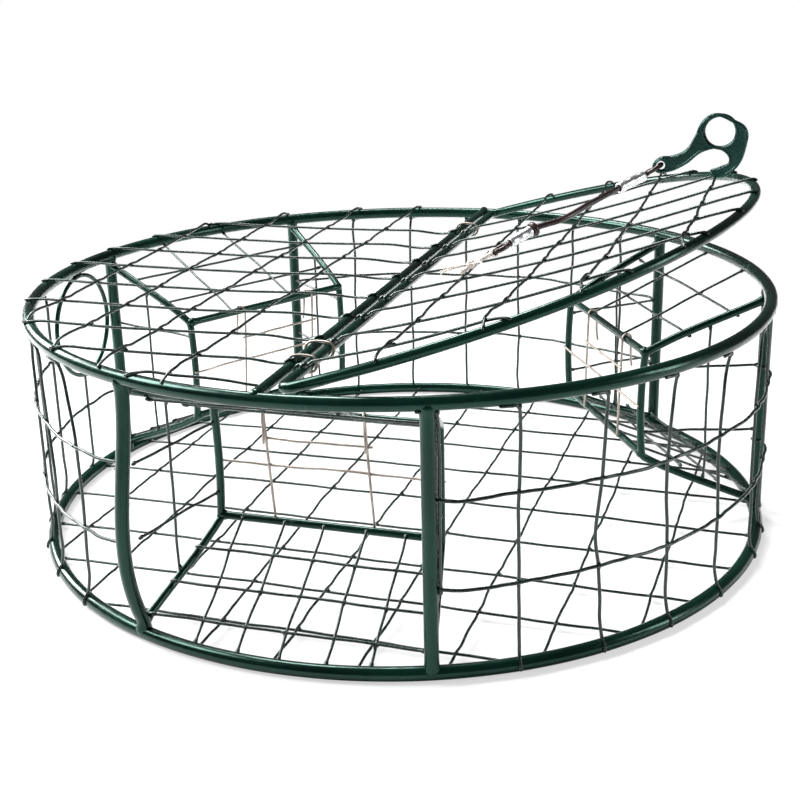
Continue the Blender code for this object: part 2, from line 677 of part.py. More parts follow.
def build():
    green = material("Green vinyl coating", (0.02, 0.07, 0.05), 0.3)
    wire = material("Bare wire", (0.62, 0.6, 0.55), 0.35, 1.0)
    metal = material("Aluminium sleeve", (0.75, 0.75, 0.77), 0.3, 1.0)
    rubber = material("Black rubber", (0.03, 0.02, 0.022), 0.5)
    cotton = material("Cotton", (0.82, 0.77, 0.7), 0.9)

    ring("base_ring", Z_BASE, green)
    ring("top_ring", Z_TOP, green)
    for name, angle in POST_ANGLES.items():
        post(name, angle, green)

    near = RING_R - RING_D / 2 - GAP - 0.4
    bar("crossbar", [(CROSSBAR_X, -near, BAR_Z), (CROSSBAR_X, near, BAR_Z)], BAR_D, green)
    base_net(green)
    top_net(green)

    posts = POST_ANGLES
    beside = posts["post_front_right"] + math.degrees((POST_D / 2 + GAP + WIRE_D / 2) / RING_R)
    right = [([(0, beside), (1, beside)], Z_BASE + HEIGHT * LOWER_LEVEL - WIRE_D, None)]
    right += plain(-57.8)
    right += [([(0, -45.8), (0.25, -46.3), (0.46, -47), (0.63, -46.3), (0.98, -45.7)], None, None)]
    right += [([(0, -34.1), (0.25, -34.7), (0.63, -35.3), (0.98, -34.2)], None, None)]
    right += [([(0, -22.2), (0.33, -23), (0.63, -23.7), (0.79, -23), (0.98, -21.8)], None, None)]
    right += [([(0, -8), (0.42, -9.5), (0.79, -9.5), (0.98, -8)], None, None)]
    right += plain(1.5)
    side_panel("side_mesh_right", posts["post_front_right"], posts["post_right_front"], right, green)
    back = plain(61.1, 72, 83.4, 94.2, 105.3, 116.7)
    side_panel("side_mesh_back", posts["post_right_back"], posts["post_back_right"], back, green)
    under_ring = ESCAPE_Z - ESCAPE_R - ESCAPE_ROD / 2 - 2 * GAP
    left = [([(0, ESCAPE_ANGLE + 1), (1, ESCAPE_ANGLE + 1)], None, under_ring)]
    left += plain(194.5)
    left += [([(0, 204), (0.46, 203.6), (0.98, 204.4)], None, None)]
    left += [([(0, 213.6), (0.63, 214.4), (0.98, 213)], None, None)]
    left += [([(0, 224.2), (0.46, 225.6), (0.75, 224), (0.98, 222.9)], None, None)]
    left += [([(0, 235.3), (0.42, 236.5), (0.75, 236), (0.94, 233.6), (1, 233.3)], None, None)]
    above = Z_BASE + HEIGHT * UPPER_LEVEL - ESCAPE_Z
    clear = math.degrees(math.sqrt((ESCAPE_R + 4.5) ** 2 - above**2) / RING_R)
    last = 360 + posts["post_front_left"]
    start = ESCAPE_ANGLE + clear
    side_panel("side_mesh_left", posts["post_left_back"], last, left, green, upper_start=start)

    for label, angle in ENTRANCES.items():
        frame = entrance_frame(angle)
        for word, side in (("a", 1), ("b", -1)):
            tunnel_rod("tunnel_rod_%s_%s" % (label, word), side, frame, green)
            tunnel_side("tunnel_side_%s_%s" % (label, word), side, frame, green)
        reach = MOUTH_HALF - ROD_D / 2 - GAP
        for word, z in (("sill_bar", SILL_Z + 3), ("head_bar", HEAD_Z)):
            path = [(MOUTH_R, -reach, z), (MOUTH_R, reach, z)]
            bar("%s_%s" % (word, label), path, ROD_D, green, where=frame)
        offsets = (-0.7835, -0.389, -0.0312, 0.3541, 0.7028)
        sloped_net("ramp_mesh_" + label, ramp_line, offsets, 7.6, (0.2907, 0.5536, 0.7958), LAP, frame, green)
        offsets = (-0.365, 0.438)
        sloped_net("roof_mesh_" + label, roof_line, offsets, 0, (0.3114, 0.6367), -LAP, frame, green)
        gate("gate_" + label, frame, wire)

    place = Matrix.Translation((HINGE_X, 0, BAR_Z)) @ Matrix.Rotation(-rad(LID_REST), 4, "Y")
    bar("lid_frame", lid_frame_path(), BAR_D, green, closed=True, where=place)
    lid_net(place, green)
    for name, share in (("hog_ring_front", -0.8079), ("hog_ring_middle", -0.6914), ("hog_ring_back", 0.7293)):
        hog_ring(name, LID_R * share, wire)
    escape_ring(green)
    closure(place, rubber, metal, green, cotton)


for old in list(bpy.data.objects):
    bpy.data.objects.remove(old)
build()
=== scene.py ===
"""Looks of a round crab trap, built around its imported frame.

Two coated steel rings on six posts carry wire nets, three tunnel entrances with
hanging gates, a round escape ring and a hinged D-shaped lid with its rubber cord
and moulded hook. Routes and sizes are in millimetres in the CAD's own frame."""

import math
import random

import bpy
import numpy as np
from mathutils import Matrix, Vector


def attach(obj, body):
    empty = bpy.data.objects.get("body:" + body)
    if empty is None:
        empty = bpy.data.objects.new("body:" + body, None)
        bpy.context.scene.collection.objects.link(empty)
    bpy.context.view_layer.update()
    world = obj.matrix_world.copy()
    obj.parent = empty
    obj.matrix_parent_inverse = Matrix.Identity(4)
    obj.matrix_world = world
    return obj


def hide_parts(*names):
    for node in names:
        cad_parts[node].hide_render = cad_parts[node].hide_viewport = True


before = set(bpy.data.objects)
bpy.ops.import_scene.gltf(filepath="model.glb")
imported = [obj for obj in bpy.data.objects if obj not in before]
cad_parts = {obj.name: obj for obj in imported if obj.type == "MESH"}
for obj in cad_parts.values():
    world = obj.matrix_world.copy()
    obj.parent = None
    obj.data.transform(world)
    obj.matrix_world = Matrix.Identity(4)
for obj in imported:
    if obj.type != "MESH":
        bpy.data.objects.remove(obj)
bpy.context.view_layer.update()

bl_info = {
    "name": "Round crab trap",
    "version": (1, 0, 0),
    "blender": (4, 5, 0),
    "location": "3D View > Sidebar > Crab trap",
    "description": "Builds the looks of a round wire crab trap around its CAD frame",
    "category": "Object",
}

MM = 0.001

# Frame of the trap
RING_R = 374.5
RING_D = 13.0
HEIGHT = 239.7
POST_D = 13.0
POST_ANGLES = {
    "post_front_left": -111.2,
    "post_front_right": -69.2,
    "post_right_front": 9.7,
    "post_right_back": 51.7,
    "post_back_right": 129,
    "post_left_back": 171,
}
POST_BOW = 14.0
BOW_PEAK = 0.35
BOW_RISE = 1.1
POST_STUB = 4.0
POST_SINK = 2.5
POST_HALF_ANGLE = math.radians(21)
POST_X = RING_R * math.cos(POST_HALF_ANGLE)
POST_Y = RING_R * math.sin(POST_HALF_ANGLE)
GAP = 0.3
BAR_INSET = 0.1
ROD_INSET = 0.05
Z_BASE = RING_D / 2
Z_TOP = Z_BASE + HEIGHT

# Nets
WIRE_D = 3.0
LAP = 2.2
CROSSING_REACH = 5.5
TOP_TURN = 2.0
BASE_TURN = -0.8
LOWER_LEVEL = 0.325
UPPER_LEVEL = 0.6583

# Entrances
ENTRANCES = {"front": -90.2, "right": 30.7, "left": 150}
ROD_D = 8.0
MOUTH_R = 230.0
MOUTH_HALF = 109.0
SILL_Z = Z_BASE + HEIGHT * 0.2628
HEAD_Z = Z_BASE + HEIGHT * 0.7372
SILL_BAR_Z = SILL_Z + 3.0
ROD_LOW_Z = Z_BASE + 9.0
ROD_HIGH_Z = Z_TOP - 10.0
SLOPE_END = 0.71 * (RING_D / 2 + GAP + WIRE_D / 2)
ROD_BEND = 8.0
SLOPE_NEAR_X = MOUTH_R + ROD_D / 2 + GAP
SLOPE_FAR_X = RING_R - SLOPE_END
RAMP_ENDS_Z = (SILL_BAR_Z, Z_BASE + SLOPE_END)
ROOF_ENDS_Z = (HEAD_Z, Z_TOP - SLOPE_END)
RAMP_WIRES = (-0.7835, -0.389, -0.0312, 0.3541, 0.7028)
RAMP_LEAN = 7.6
RAMP_ROWS = (0.2907, 0.5536, 0.7958)
ROOF_WIRES = (-0.365, 0.438)
ROOF_ROWS = (0.3114, 0.6367)
SIDE_LEVELS = (0.6675, 0.3755)
GATE_LEGS = (-0.5633, 0.345)

# Lid
BAR_D = 9.5
CROSSBAR_X = -2.5
BAR_SPACING = 14.0
HINGE_X = CROSSBAR_X + BAR_SPACING
BAR_Z = Z_TOP + 3.5
LID_INSET = 18.0
LID_R = RING_R - LID_INSET
LID_REST = 16.5
LID_CORNER = 12.0
MESH_RISE = 6.6
LID_SAG = 5.0
TOP_SAG = 2.8
BASE_RISE = 3.0
LID_LONG_WIRES = (0.6424, 0.4208, 0.1907, -0.0224, -0.2272, -0.4236, -0.6564, -0.8612)
LID_CROSS_WIRES = (0.2356, 0.4656, 0.6648, 0.8668)
HOG_RINGS = {"hog_ring_front": -0.8079, "hog_ring_middle": -0.6914, "hog_ring_back": 0.7293}

# Escape ring
ESCAPE_ROD = 5.0
ESCAPE_R = (108.0 + ESCAPE_ROD) / 2
ESCAPE_REACH = ESCAPE_R + (ESCAPE_ROD + POST_D) / 2
ESCAPE_ANGLE = POST_ANGLES["post_left_back"] + math.degrees(math.asin(ESCAPE_REACH / RING_R))
ESCAPE_Z = Z_TOP - RING_D / 2 - GAP - ESCAPE_R - ESCAPE_ROD / 2

# Closure, in the lid's own frame: across the hinge, along it, above it
CORD_D = 6.0
LOOP_D = 5.0
FRONT_LOOP_HALF = 8.8
BACK_LOOP_HALF = 8.0
SLEEVE_BORE_R = 3.35
STOP_THICK = 5.0
CORD_A = Vector((126.7, -41.6, 20.2))
CORD_B = Vector((144.6, -20.7, 23.5))
CORD_MID = (Vector((170, 0.5, 23.5)), Vector((195, 37.4, 26.5)))
CORD_C = Vector((219.4, 77.8, 28.8))
CORD_END = Vector((241.3, 108.7, 30.5))
HOOK_FOOT = (311, 118)
EYE = (-52.8, 4.2)
FINGER = (6.0, 39.8)
HOOK_THICK = 8.0
FINGER_R = 15.0
EYE_R = 4.8
HOOK_EDGE = 1.3
HOOK_BEAD = 1.0

# Camera at the photograph's place, in metres
CAMERA_AT = (0.42055, -1.30985, 0.59851)
CAMERA_TO = (-0.00191, -0.00062, 0.1191)
CAMERA_ROLL = -1.426
CAMERA_LENS = 61.208

# Lamps: name, place, height looked at, width and length in metres, and power in watts
LAMPS = (
    ("key", (-2.6, 1.05, 1.4), 0.1, 1.2, 0.9, 110),
    ("top", (-0.9, 1.3, 2.6), 0.12, 1.0, 0.8, 90),
    ("left top", (-2.0, -0.35, 2.2), 0.12, 1.5, 1.1, 150),
    ("right", (2.6, 0.2, 1.0), 0.12, 0.3, 1.3, 24),
)

UP = Vector((0, 0, 1))
WHITE = (1, 1, 1, 1)
WORLD_LIGHT = 0.1
FLOOR_DROP = 0.0004
PHASES = 6.283


def length_prop(name, text, value):
    return bpy.props.FloatProperty(name=name, description=text, default=value, unit="LENGTH")


def colour_prop(name, text, value):
    return bpy.props.FloatVectorProperty(
        name=name, description=text, default=value, size=3, min=0, max=1, subtype="COLOR"
    )


class TrapSizes(bpy.types.PropertyGroup):
    """Sizes of the trap's finish, in metres"""

    net_wire: length_prop("Net wire", "Diameter of the coated net wire", 0.0027)
    gate_wire: length_prop("Gate wire", "Diameter of the bare gate wire", 0.0025)
    spacing: length_prop("Point spacing", "Distance between the points of a wire's path", 0.0045)
    kink: length_prop("Kink", "How far a wire steps where it passes over another", 0.0012)
    wander: length_prop("Wander", "How far a hand-laid wire strays sideways", 0.0008)
    lump: length_prop("Lump", "Half length of the coating lump at a crossing", 0.0038)
    floor: length_prop("Floor", "Width of the floor", 9.0)


class TrapColours(bpy.types.PropertyGroup):
    """Colours of the trap's finishes"""

    coating: colour_prop("Coating", "Green of the dipped vinyl coating", (0.0022, 0.020, 0.013))
    coating_deep: colour_prop("Deep coating", "Darkest green of the coating", (0.0005, 0.0045, 0.0032))
    net: colour_prop("Net coating", "Coating of the thin net wires", (0.005, 0.014, 0.011))
    gate: colour_prop("Gate wire", "Bare wire of the gates", (0.36, 0.32, 0.285))
    sleeve: colour_prop("Sleeve", "Aluminium of the crimped sleeves", (0.80, 0.80, 0.82))
    rubber: colour_prop("Rubber", "Dark rubber of the closure cord", (0.030, 0.012, 0.012))
    hook: colour_prop("Hook", "Moulded plastic of the hook", (0.010, 0.046, 0.038))
    cotton: colour_prop("Cotton", "Undyed cotton of the tie", (0.86, 0.79, 0.73))
    floor: colour_prop("Floor", "Floor and backdrop", (0.93, 0.93, 0.93))


def sizes():
    return bpy.context.scene.trap_sizes


def colours():
    return bpy.context.scene.trap_colours


# Routes


def rad(angle):
    return math.radians(angle)


def polar(radius, angle, z=0.0):
    return Vector((radius * math.cos(rad(angle)), radius * math.sin(rad(angle)), z))


def half_chord(radius, across):
    return math.sqrt(radius**2 - across**2)


def steps_between(start, end, count):
    return [start + (end - start) * k / count for k in range(count + 1)]


def dense(path, spacing, closed=False):
    """Points at an even spacing on a smooth curve through the path's points."""
    pts = np.array([tuple(p) for p in path], float)
    if closed:
        before, after = np.roll(pts, 1, 0), np.roll(pts, -1, 0)
        ends = np.roll(pts, -1, 0)
        spans = len(pts)
    else:
        before = np.vstack([2 * pts[0] - pts[1], pts[:-1]])
        after = np.vstack([pts[1:], 2 * pts[-1] - pts[-2]])
        ends = pts[1:]
        spans = len(pts) - 1
    made = []
    for k in range(spans):
        a, d = pts[k], ends[k]
        length = np.linalg.norm(d - a)
        if length < 1e-6:
            continue
        slope_a = slope_at(before[k], a, after[k]) * length
        slope_d = slope_at(a, d, after[(k + 1) % len(pts)]) * length
        count = max(1, round(length / spacing))
        t = np.arange(count)[:, None] / count
        blend_a = 2 * t**3 - 3 * t**2 + 1
        blend_d = -2 * t**3 + 3 * t**2
        leave = (t**3 - 2 * t**2 + t) * slope_a
        arrive = (t**3 - t**2) * slope_d
        made.append(blend_a * a + blend_d * d + leave + arrive)
    if not closed:
        made.append(pts[-1:])
    return np.vstack(made)


def slope_at(before, here, after):
    """The curve's direction at a point, weighted so that short spans don't bulge."""
    back, on = here - before, after - here
    a, b = np.linalg.norm(back), np.linalg.norm(on)
    if a < 1e-9 or b < 1e-9:
        return (back + on) / max(a + b, 1e-9)
    way = back / a * b + on / b * a
    return way / max(a + b, 1e-9)


def rounded(path, radius):
    """The path with each inner corner replaced by an arc of this radius."""
    done = [Vector(path[0])]
    for before, corner, after in zip(path, path[1:], path[2:]):
        a = (before - corner).normalized()
        b = (after - corner).normalized()
        half = a.angle(b) / 2
        reach = radius / math.tan(half)
        centre = corner + (a + b).normalized() * (radius / math.sin(half))
        start = (corner + a * reach - centre).normalized()
        end = (corner + b * reach - centre).normalized()
        for share in steps_between(0, 1, 6):
            done.append(centre + start.slerp(end, share).normalized() * radius)
    done.append(Vector(path[-1]))
    return done


def distances(pts):
    """How far along its path each point lies."""
    return np.concatenate([[0], np.cumsum(np.linalg.norm(np.diff(pts, axis=0), axis=1))])


def stray(path, seed, amount, up=(0, 0, 1)):
    """Sways a wire gently to its side, as wire laid by hand does; its two ends stay."""
    pts = np.array(path, float)
    rng = random.Random(seed)
    along = pts[-1] - pts[0]
    side = np.cross(along, np.array(up, float))
    side /= max(np.linalg.norm(side), 1e-9)
    gone = distances(pts)
    total = gone[-1]
    sway = np.zeros(len(pts))
    for length, share in ((190, 1.0), (83, 0.5), (37, 0.22)):
        sway += share * np.sin(gone / length * 2 * math.pi + rng.uniform(0, PHASES))
    fade = np.clip(np.minimum(gone, total - gone) / 30, 0, 1)
    return pts + side * (sway * fade * amount)[:, None]


def circle(centre, across, up, count, half_across, half_up):
    """Points once round a centre, from across towards up."""
    path = []
    for k in range(count):
        turn = 2 * math.pi * k / count
        path.append(centre + across * (half_across * math.cos(turn)) + up * (half_up * math.sin(turn)))
    return path


def wrap(centre, first, other, radius, start, end, drift=(0, 0, 0), steps=10):
    """An arc round a bar's centre, from first towards other, which may drift along the bar."""
    path = []
    for angle in steps_between(start, end, steps):
        share = (angle - start) / (end - start)
        way = first * math.cos(rad(angle)) + other * math.sin(rad(angle))
        path.append(centre + way * radius + Vector(drift) * share)
    return path


# Building meshes


class Bars:
    """Round bars, wires and lumps that become one piece, in millimetres."""

    def __init__(self, place=None):
        self.verts = []
        self.faces = []
        self.count = 0
        self.place = place or Matrix.Identity(4)

    def put(self, verts, faces):
        self.verts.append(np.asarray(verts, float))
        self.faces.extend([tuple(i + self.count for i in face) for face in faces])
        self.count += len(verts)

    def bar(self, path, radius, sides=12, closed=False, radii=None):
        """A round bar swept along the points, with domed ends unless it closes on itself."""
        pts = np.array([tuple(p) for p in path], float)
        sizes_here = np.full(len(pts), float(radius)) if radii is None else np.array(radii, float)
        if closed:
            ways = np.roll(pts, -1, 0) - np.roll(pts, 1, 0)
        else:
            ways = np.gradient(pts, axis=0)
        ways /= np.maximum(np.linalg.norm(ways, axis=1), 1e-9)[:, None]
        if not closed:
            pts, sizes_here, ways = domed(pts, sizes_here, ways)
        normals = carried(ways)
        if closed:
            normals = untwisted(normals, ways)
        others = np.cross(ways, normals)
        turns = np.arange(sides) * 2 * math.pi / sides
        rings = (
            pts[:, None, :]
            + (normals[:, None, :] * np.cos(turns)[None, :, None]
               + others[:, None, :] * np.sin(turns)[None, :, None])
            * sizes_here[:, None, None]
        )
        rows = len(pts)
        faces = []
        for i in range(rows if closed else rows - 1):
            a, b = i * sides, ((i + 1) % rows) * sides
            for k in range(sides):
                m = (k + 1) % sides
                faces.append((a + k, a + m, b + m, b + k))
        if not closed:
            faces.append(tuple(range(sides - 1, -1, -1)))
            faces.append(tuple(range((rows - 1) * sides, rows * sides)))
        self.put(rings.reshape(-1, 3), faces)

    def lump(self, centre, along, up, half_long, half_wide, half_tall, segments=10, rows=6):
        """A smooth bead of coating, longest the along way and half_tall the up way."""
        a = Vector(along).normalized()
        u = Vector(up) - a * Vector(up).dot(a)
        u = u.normalized() if u.length > 1e-6 else a.orthogonal().normalized()
        s = a.cross(u)
        c = Vector(centre)
        verts = [c - a * half_long]
        for row in range(1, rows):
            t = math.pi * row / rows
            for k in range(segments):
                turn = 2 * math.pi * k / segments
                out = s * (half_wide * math.cos(turn)) + u * (half_tall * math.sin(turn))
                verts.append(c - a * (half_long * math.cos(t)) + out * math.sin(t))
        verts.append(c + a * half_long)
        faces = [(0, 1 + (k + 1) % segments, 1 + k) for k in range(segments)]
        for row in range(rows - 2):
            first = 1 + row * segments
            for k in range(segments):
                m = (k + 1) % segments
                faces.append((first + k, first + m, first + segments + m, first + segments + k))
        last = 1 + (rows - 2) * segments
        tip = len(verts) - 1
        faces += [(tip, last + k, last + (k + 1) % segments) for k in range(segments)]
        self.put([tuple(v) for v in verts], faces)

    def turned(self, profile, start, axis, sides=32):
        """A closed profile of (radius, distance) turned about an axis."""
        n = axis.orthogonal().normalized()
        m = axis.cross(n)
        verts = []
        for k in range(sides):
            turn = 2 * math.pi * k / sides
            out = n * math.cos(turn) + m * math.sin(turn)
            verts += [tuple(start + out * r + axis * z) for r, z in profile]
        count = len(profile)
        faces = []
        for k in range(sides):
            a, b = k * count, ((k + 1) % sides) * count
            for i in range(count):
                j = (i + 1) % count
                faces.append((a + i, b + i, b + j, a + j))
        self.put(verts, faces)

    def piece(self, name, material, body, replaced=()):
        """Turns what was made into a mesh object that rides on a body."""
        matrix = np.array(self.place, float)
        co = np.vstack(self.verts)
        co = (co @ matrix[:3, :3].T + matrix[:3, 3]) * MM
        mesh = bpy.data.meshes.new(name)
        mesh.from_pydata(co.tolist(), [], self.faces)
        mesh.polygons.foreach_set("use_smooth", [True] * len(mesh.polygons))
        mesh.materials.append(material)
        mesh.validate()
        obj = bpy.data.objects.new(name, mesh)
        bpy.context.scene.collection.objects.link(obj)
        if replaced:
            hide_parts(*replaced)
        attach(obj, body)
        return obj

    def frame_part(self, node_name, ending="_bar", body="frame"):
        """A piece in the frame's coating that stands for one node."""
        return self.piece(node_name + ending, finish("Frame coating"), body, [node_name])

    def net_part(self, node_name, body="frame"):
        """A piece of net wire that stands for one node."""
        name = node_name.replace("mesh", "net") + "_wires"
        return self.piece(name, finish("Net coating"), body, [node_name])


def domed(pts, radii, ways):
    """Adds three shrinking rings past each end of a bar, which dome it."""
    caps = ((0.5, 0.866), (0.86, 0.5), (0.98, 0.17))
    before, after = [
        [(pts[k] + ways[k] * side * radii[k] * out, radii[k] * size, ways[k]) for out, size in caps]
        for k, side in ((0, -1), (-1, 1))
    ]
    before.reverse()
    columns = zip(zip(*before), (pts, radii, ways), zip(*after))
    return [np.concatenate(column) for column in columns]


def carried(ways):
    """A normal at each point, carried along the bar without twist."""
    first = np.array(Vector(ways[0]).orthogonal().normalized())
    normals = [first]
    for way in ways[1:]:
        n = normals[-1] - way * np.dot(normals[-1], way)
        size = np.linalg.norm(n)
        if size < 1e-6:
            n = np.array(Vector(way).orthogonal())
            size = np.linalg.norm(n)
        normals.append(n / size)
    return np.array(normals)


def untwisted(normals, ways):
    """Spreads a closed bar's leftover twist along it."""
    last = normals[-1] - ways[0] * np.dot(normals[-1], ways[0])
    last /= np.linalg.norm(last)
    cross = np.cross(last, normals[0])
    angle = math.atan2(np.dot(cross, ways[0]), np.dot(last, normals[0]))
    done = []
    for k, (n, way) in enumerate(zip(normals, ways)):
        share = angle * k / len(normals)
        done.append(n * math.cos(share) + np.cross(way, n) * math.sin(share))
    return np.array(done)


def flared(path, radius, extra, reach):
    """Radii that swell towards the ends of a bar, as a weld under coating does."""
    gone = distances(np.array([tuple(p) for p in path], float))
    radii = np.full(len(gone), float(radius))
    radii += extra * np.exp(-gone / reach)
    radii += extra * np.exp(-(gone[-1] - gone) / reach)
    return radii


def weave(bars, along, across, seed, up=(0, 0, 1), kinked=True, thicker=1.0):
    """Draws a net: the along wires, the across wires that step over them, and coating at each crossing."""
    s = sizes()
    radius = s.net_wire / MM / 2 * thicker
    spacing = s.spacing / MM
    amount = s.wander / MM
    long_wires = []
    for k, path in enumerate(along):
        long_wires.append(stray(dense(path, spacing), "%s along %d" % (seed, k), amount, up))
    for k, path in enumerate(across):
        wire = stray(dense(path, spacing), "%s across %d" % (seed, k), amount, up)
        lift = np.zeros(wire.shape)
        for other in long_wires:
            gaps = np.linalg.norm(wire[:, None, :] - other[None, :, :], axis=2)
            i, j = np.unravel_index(np.argmin(gaps), gaps.shape)
            if gaps[i, j] > CROSSING_REACH:
                continue
            way_a, way_b = way_at(wire, i), way_at(other, j)
            normal = np.cross(way_a, way_b)
            normal /= max(np.linalg.norm(normal), 1e-9)
            if np.dot(normal, wire[i] - other[j]) < 0:
                normal = -normal
            if kinked:
                # The wire rises over the other one and dips on both sides of it
                far = np.linalg.norm(wire - wire[i], axis=1)
                step = 0.35 * np.exp(-((far / 5) ** 2)) - 0.65 * np.exp(-(((far - 13) / 6) ** 2))
                lift += normal[None, :] * (step * s.kink / MM)[:, None]
            middle = (Vector(wire[i]) + Vector(other[j])) / 2
            for way, side in ((way_a, 0.5), (way_b, -0.5)):
                bead = middle + Vector(normal) * side
                bars.lump(bead, way, Vector(normal), s.lump / MM, radius * 1.15, radius * 1.35, 8, 5)
        bars.bar(wire + lift, radius)
    for wire in long_wires:
        bars.bar(wire, radius)


def way_at(wire, k):
    return wire[min(k + 1, len(wire) - 1)] - wire[max(k - 1, 0)]


# Materials


def node(tree, kind, inputs=None, **values):
    """A node with its settings, and with inputs that are set to a value or linked to an output."""
    made = tree.nodes.new(kind)
    for key, value in values.items():
        setattr(made, key, value)
    for key, value in (inputs or {}).items():
        if isinstance(value, bpy.types.NodeSocket):
            tree.links.new(value, made.inputs[key])
        else:
            made.inputs[key].default_value = value
    return made


def noise(tree, place, scale, detail, rough=0.5):
    inputs = {"Vector": place, "Scale": scale, "Detail": detail, "Roughness": rough}
    return node(tree, "ShaderNodeTexNoise", inputs).outputs["Fac"]


def spread(tree, value, low, high, to_low=0.0, to_high=1.0):
    inputs = {"Value": value, "From Min": low, "From Max": high, "To Min": to_low, "To Max": to_high}
    return node(tree, "ShaderNodeMapRange", inputs).outputs["Result"]


def blend(tree, factor, a, b):
    inputs = {"Factor": factor, "A": a, "B": b}
    return node(tree, "ShaderNodeMix", inputs, data_type="RGBA").outputs["Result"]


def worked(tree, operation, *values):
    """The result of one sum on values or outputs."""
    return node(tree, "ShaderNodeMath", dict(enumerate(values)), operation=operation).outputs[0]


def bump(tree, height, distance, strength, **under):
    inputs = {"Height": height, "Distance": distance, "Strength": strength, **under}
    return node(tree, "ShaderNodeBump", inputs).outputs["Normal"]


def new_group(name, inputs):
    """A shader group that takes a place, colours and values, and its input sockets by name."""
    group = bpy.data.node_groups.new(name, "ShaderNodeTree")
    group.interface.new_socket("Vector", in_out="INPUT", socket_type="NodeSocketVector")
    for label, value in inputs.items():
        kind = "NodeSocketColor" if isinstance(value, tuple) else "NodeSocketFloat"
        group.interface.new_socket(label, in_out="INPUT", socket_type=kind).default_value = value
    return group, node(group, "NodeGroupInput").outputs


def closed_group(group, colour, roughness, normal):
    """Gives the group its three outputs."""
    found = {"Colour": colour, "Roughness": roughness, "Normal": normal}
    for label, kind in zip(found, ("NodeSocketColor", "NodeSocketFloat", "NodeSocketVector")):
        group.interface.new_socket(label, in_out="OUTPUT", socket_type=kind)
    node(group, "NodeGroupOutput", found)
    return group


def dipped_group(name):
    """Dipped coating: broad and fine changes of colour, runs of thicker coating and dull scuffs."""
    group, start = new_group(
        name,
        {
            "Colour": (0.01, 0.05, 0.04, 1),
            "Deep colour": (0.002, 0.01, 0.008, 1),
            "Scuff colour": (0.035, 0.055, 0.048, 1),
            "Lump size": 90.0,
            "Lump depth": 0.35,
            "Gloss": 0.2,
        },
    )
    place = start["Vector"]
    fine = noise(group, place, 240.0, 3.0)
    tone = spread(group, noise(group, place, 7.0, 2.0), 0.36, 0.64)
    base = blend(group, tone, start["Deep colour"], start["Colour"])
    worn = spread(group, noise(group, place, 46.0, 5.0, 0.65), 0.66, 0.74, 0.0, 0.5)
    top = blend(group, worn, base, start["Scuff colour"])
    gloss = worked(group, "ADD", start["Gloss"], spread(group, fine, 0.3, 0.7, -0.03, 0.05))
    dull = worked(group, "MULTIPLY_ADD", worn, 0.5, gloss)
    lumps = noise(group, place, start["Lump size"], 1.0)
    deep = bump(group, lumps, 0.0006, start["Lump depth"])
    return closed_group(group, top, dull, bump(group, fine, 0.00012, 0.35, Normal=deep))


def drawn_group(name):
    """Drawn metal: dull patches, fine grain and faint dents."""
    group, start = new_group(
        name, {"Colour": (0.6, 0.6, 0.6, 1), "Dull colour": (0.35, 0.3, 0.27, 1), "Gloss": 0.3}
    )
    place = start["Vector"]
    tarnish = spread(group, noise(group, place, 60.0, 4.0, 0.6), 0.42, 0.68, 0.0, 0.75)
    top = blend(group, tarnish, start["Colour"], start["Dull colour"])
    gloss = worked(group, "MULTIPLY_ADD", tarnish, 0.22, start["Gloss"])
    return closed_group(group, top, gloss, bump(group, noise(group, place, 900.0, 2.0), 0.0001, 0.4))


def spun_group(name):
    """Spun fibre: fine slanted strands, painted shade darkening the grooves between them, and slubs."""
    group, start = new_group(
        name, {"Colour": (0.8, 0.75, 0.7, 1), "Groove shade colour": (0.5, 0.42, 0.36, 1), "Strands": 420.0}
    )
    place = start["Vector"]
    inputs = {"Vector": place, "Scale": start["Strands"], "Distortion": 3.0, "Detail": 2.0}
    wave = node(group, "ShaderNodeTexWave", inputs, bands_direction="DIAGONAL").outputs["Fac"]
    # Painted shade: where the wave is low, in the grooves between strands, the colour darkens towards the
    # shade colour
    groove_shade = spread(group, wave, 0.0, 0.5, 0.45, 0.0)
    top = blend(group, groove_shade, start["Colour"], start["Groove shade colour"])
    slub = spread(group, noise(group, place, 150.0, 3.0), 0.3, 0.7, 0.8, 0.95)
    return closed_group(group, top, slub, bump(group, wave, 0.0003, 0.8))


GROUPS = {"Dipped coating": dipped_group, "Drawn metal": drawn_group, "Spun fibre": spun_group}


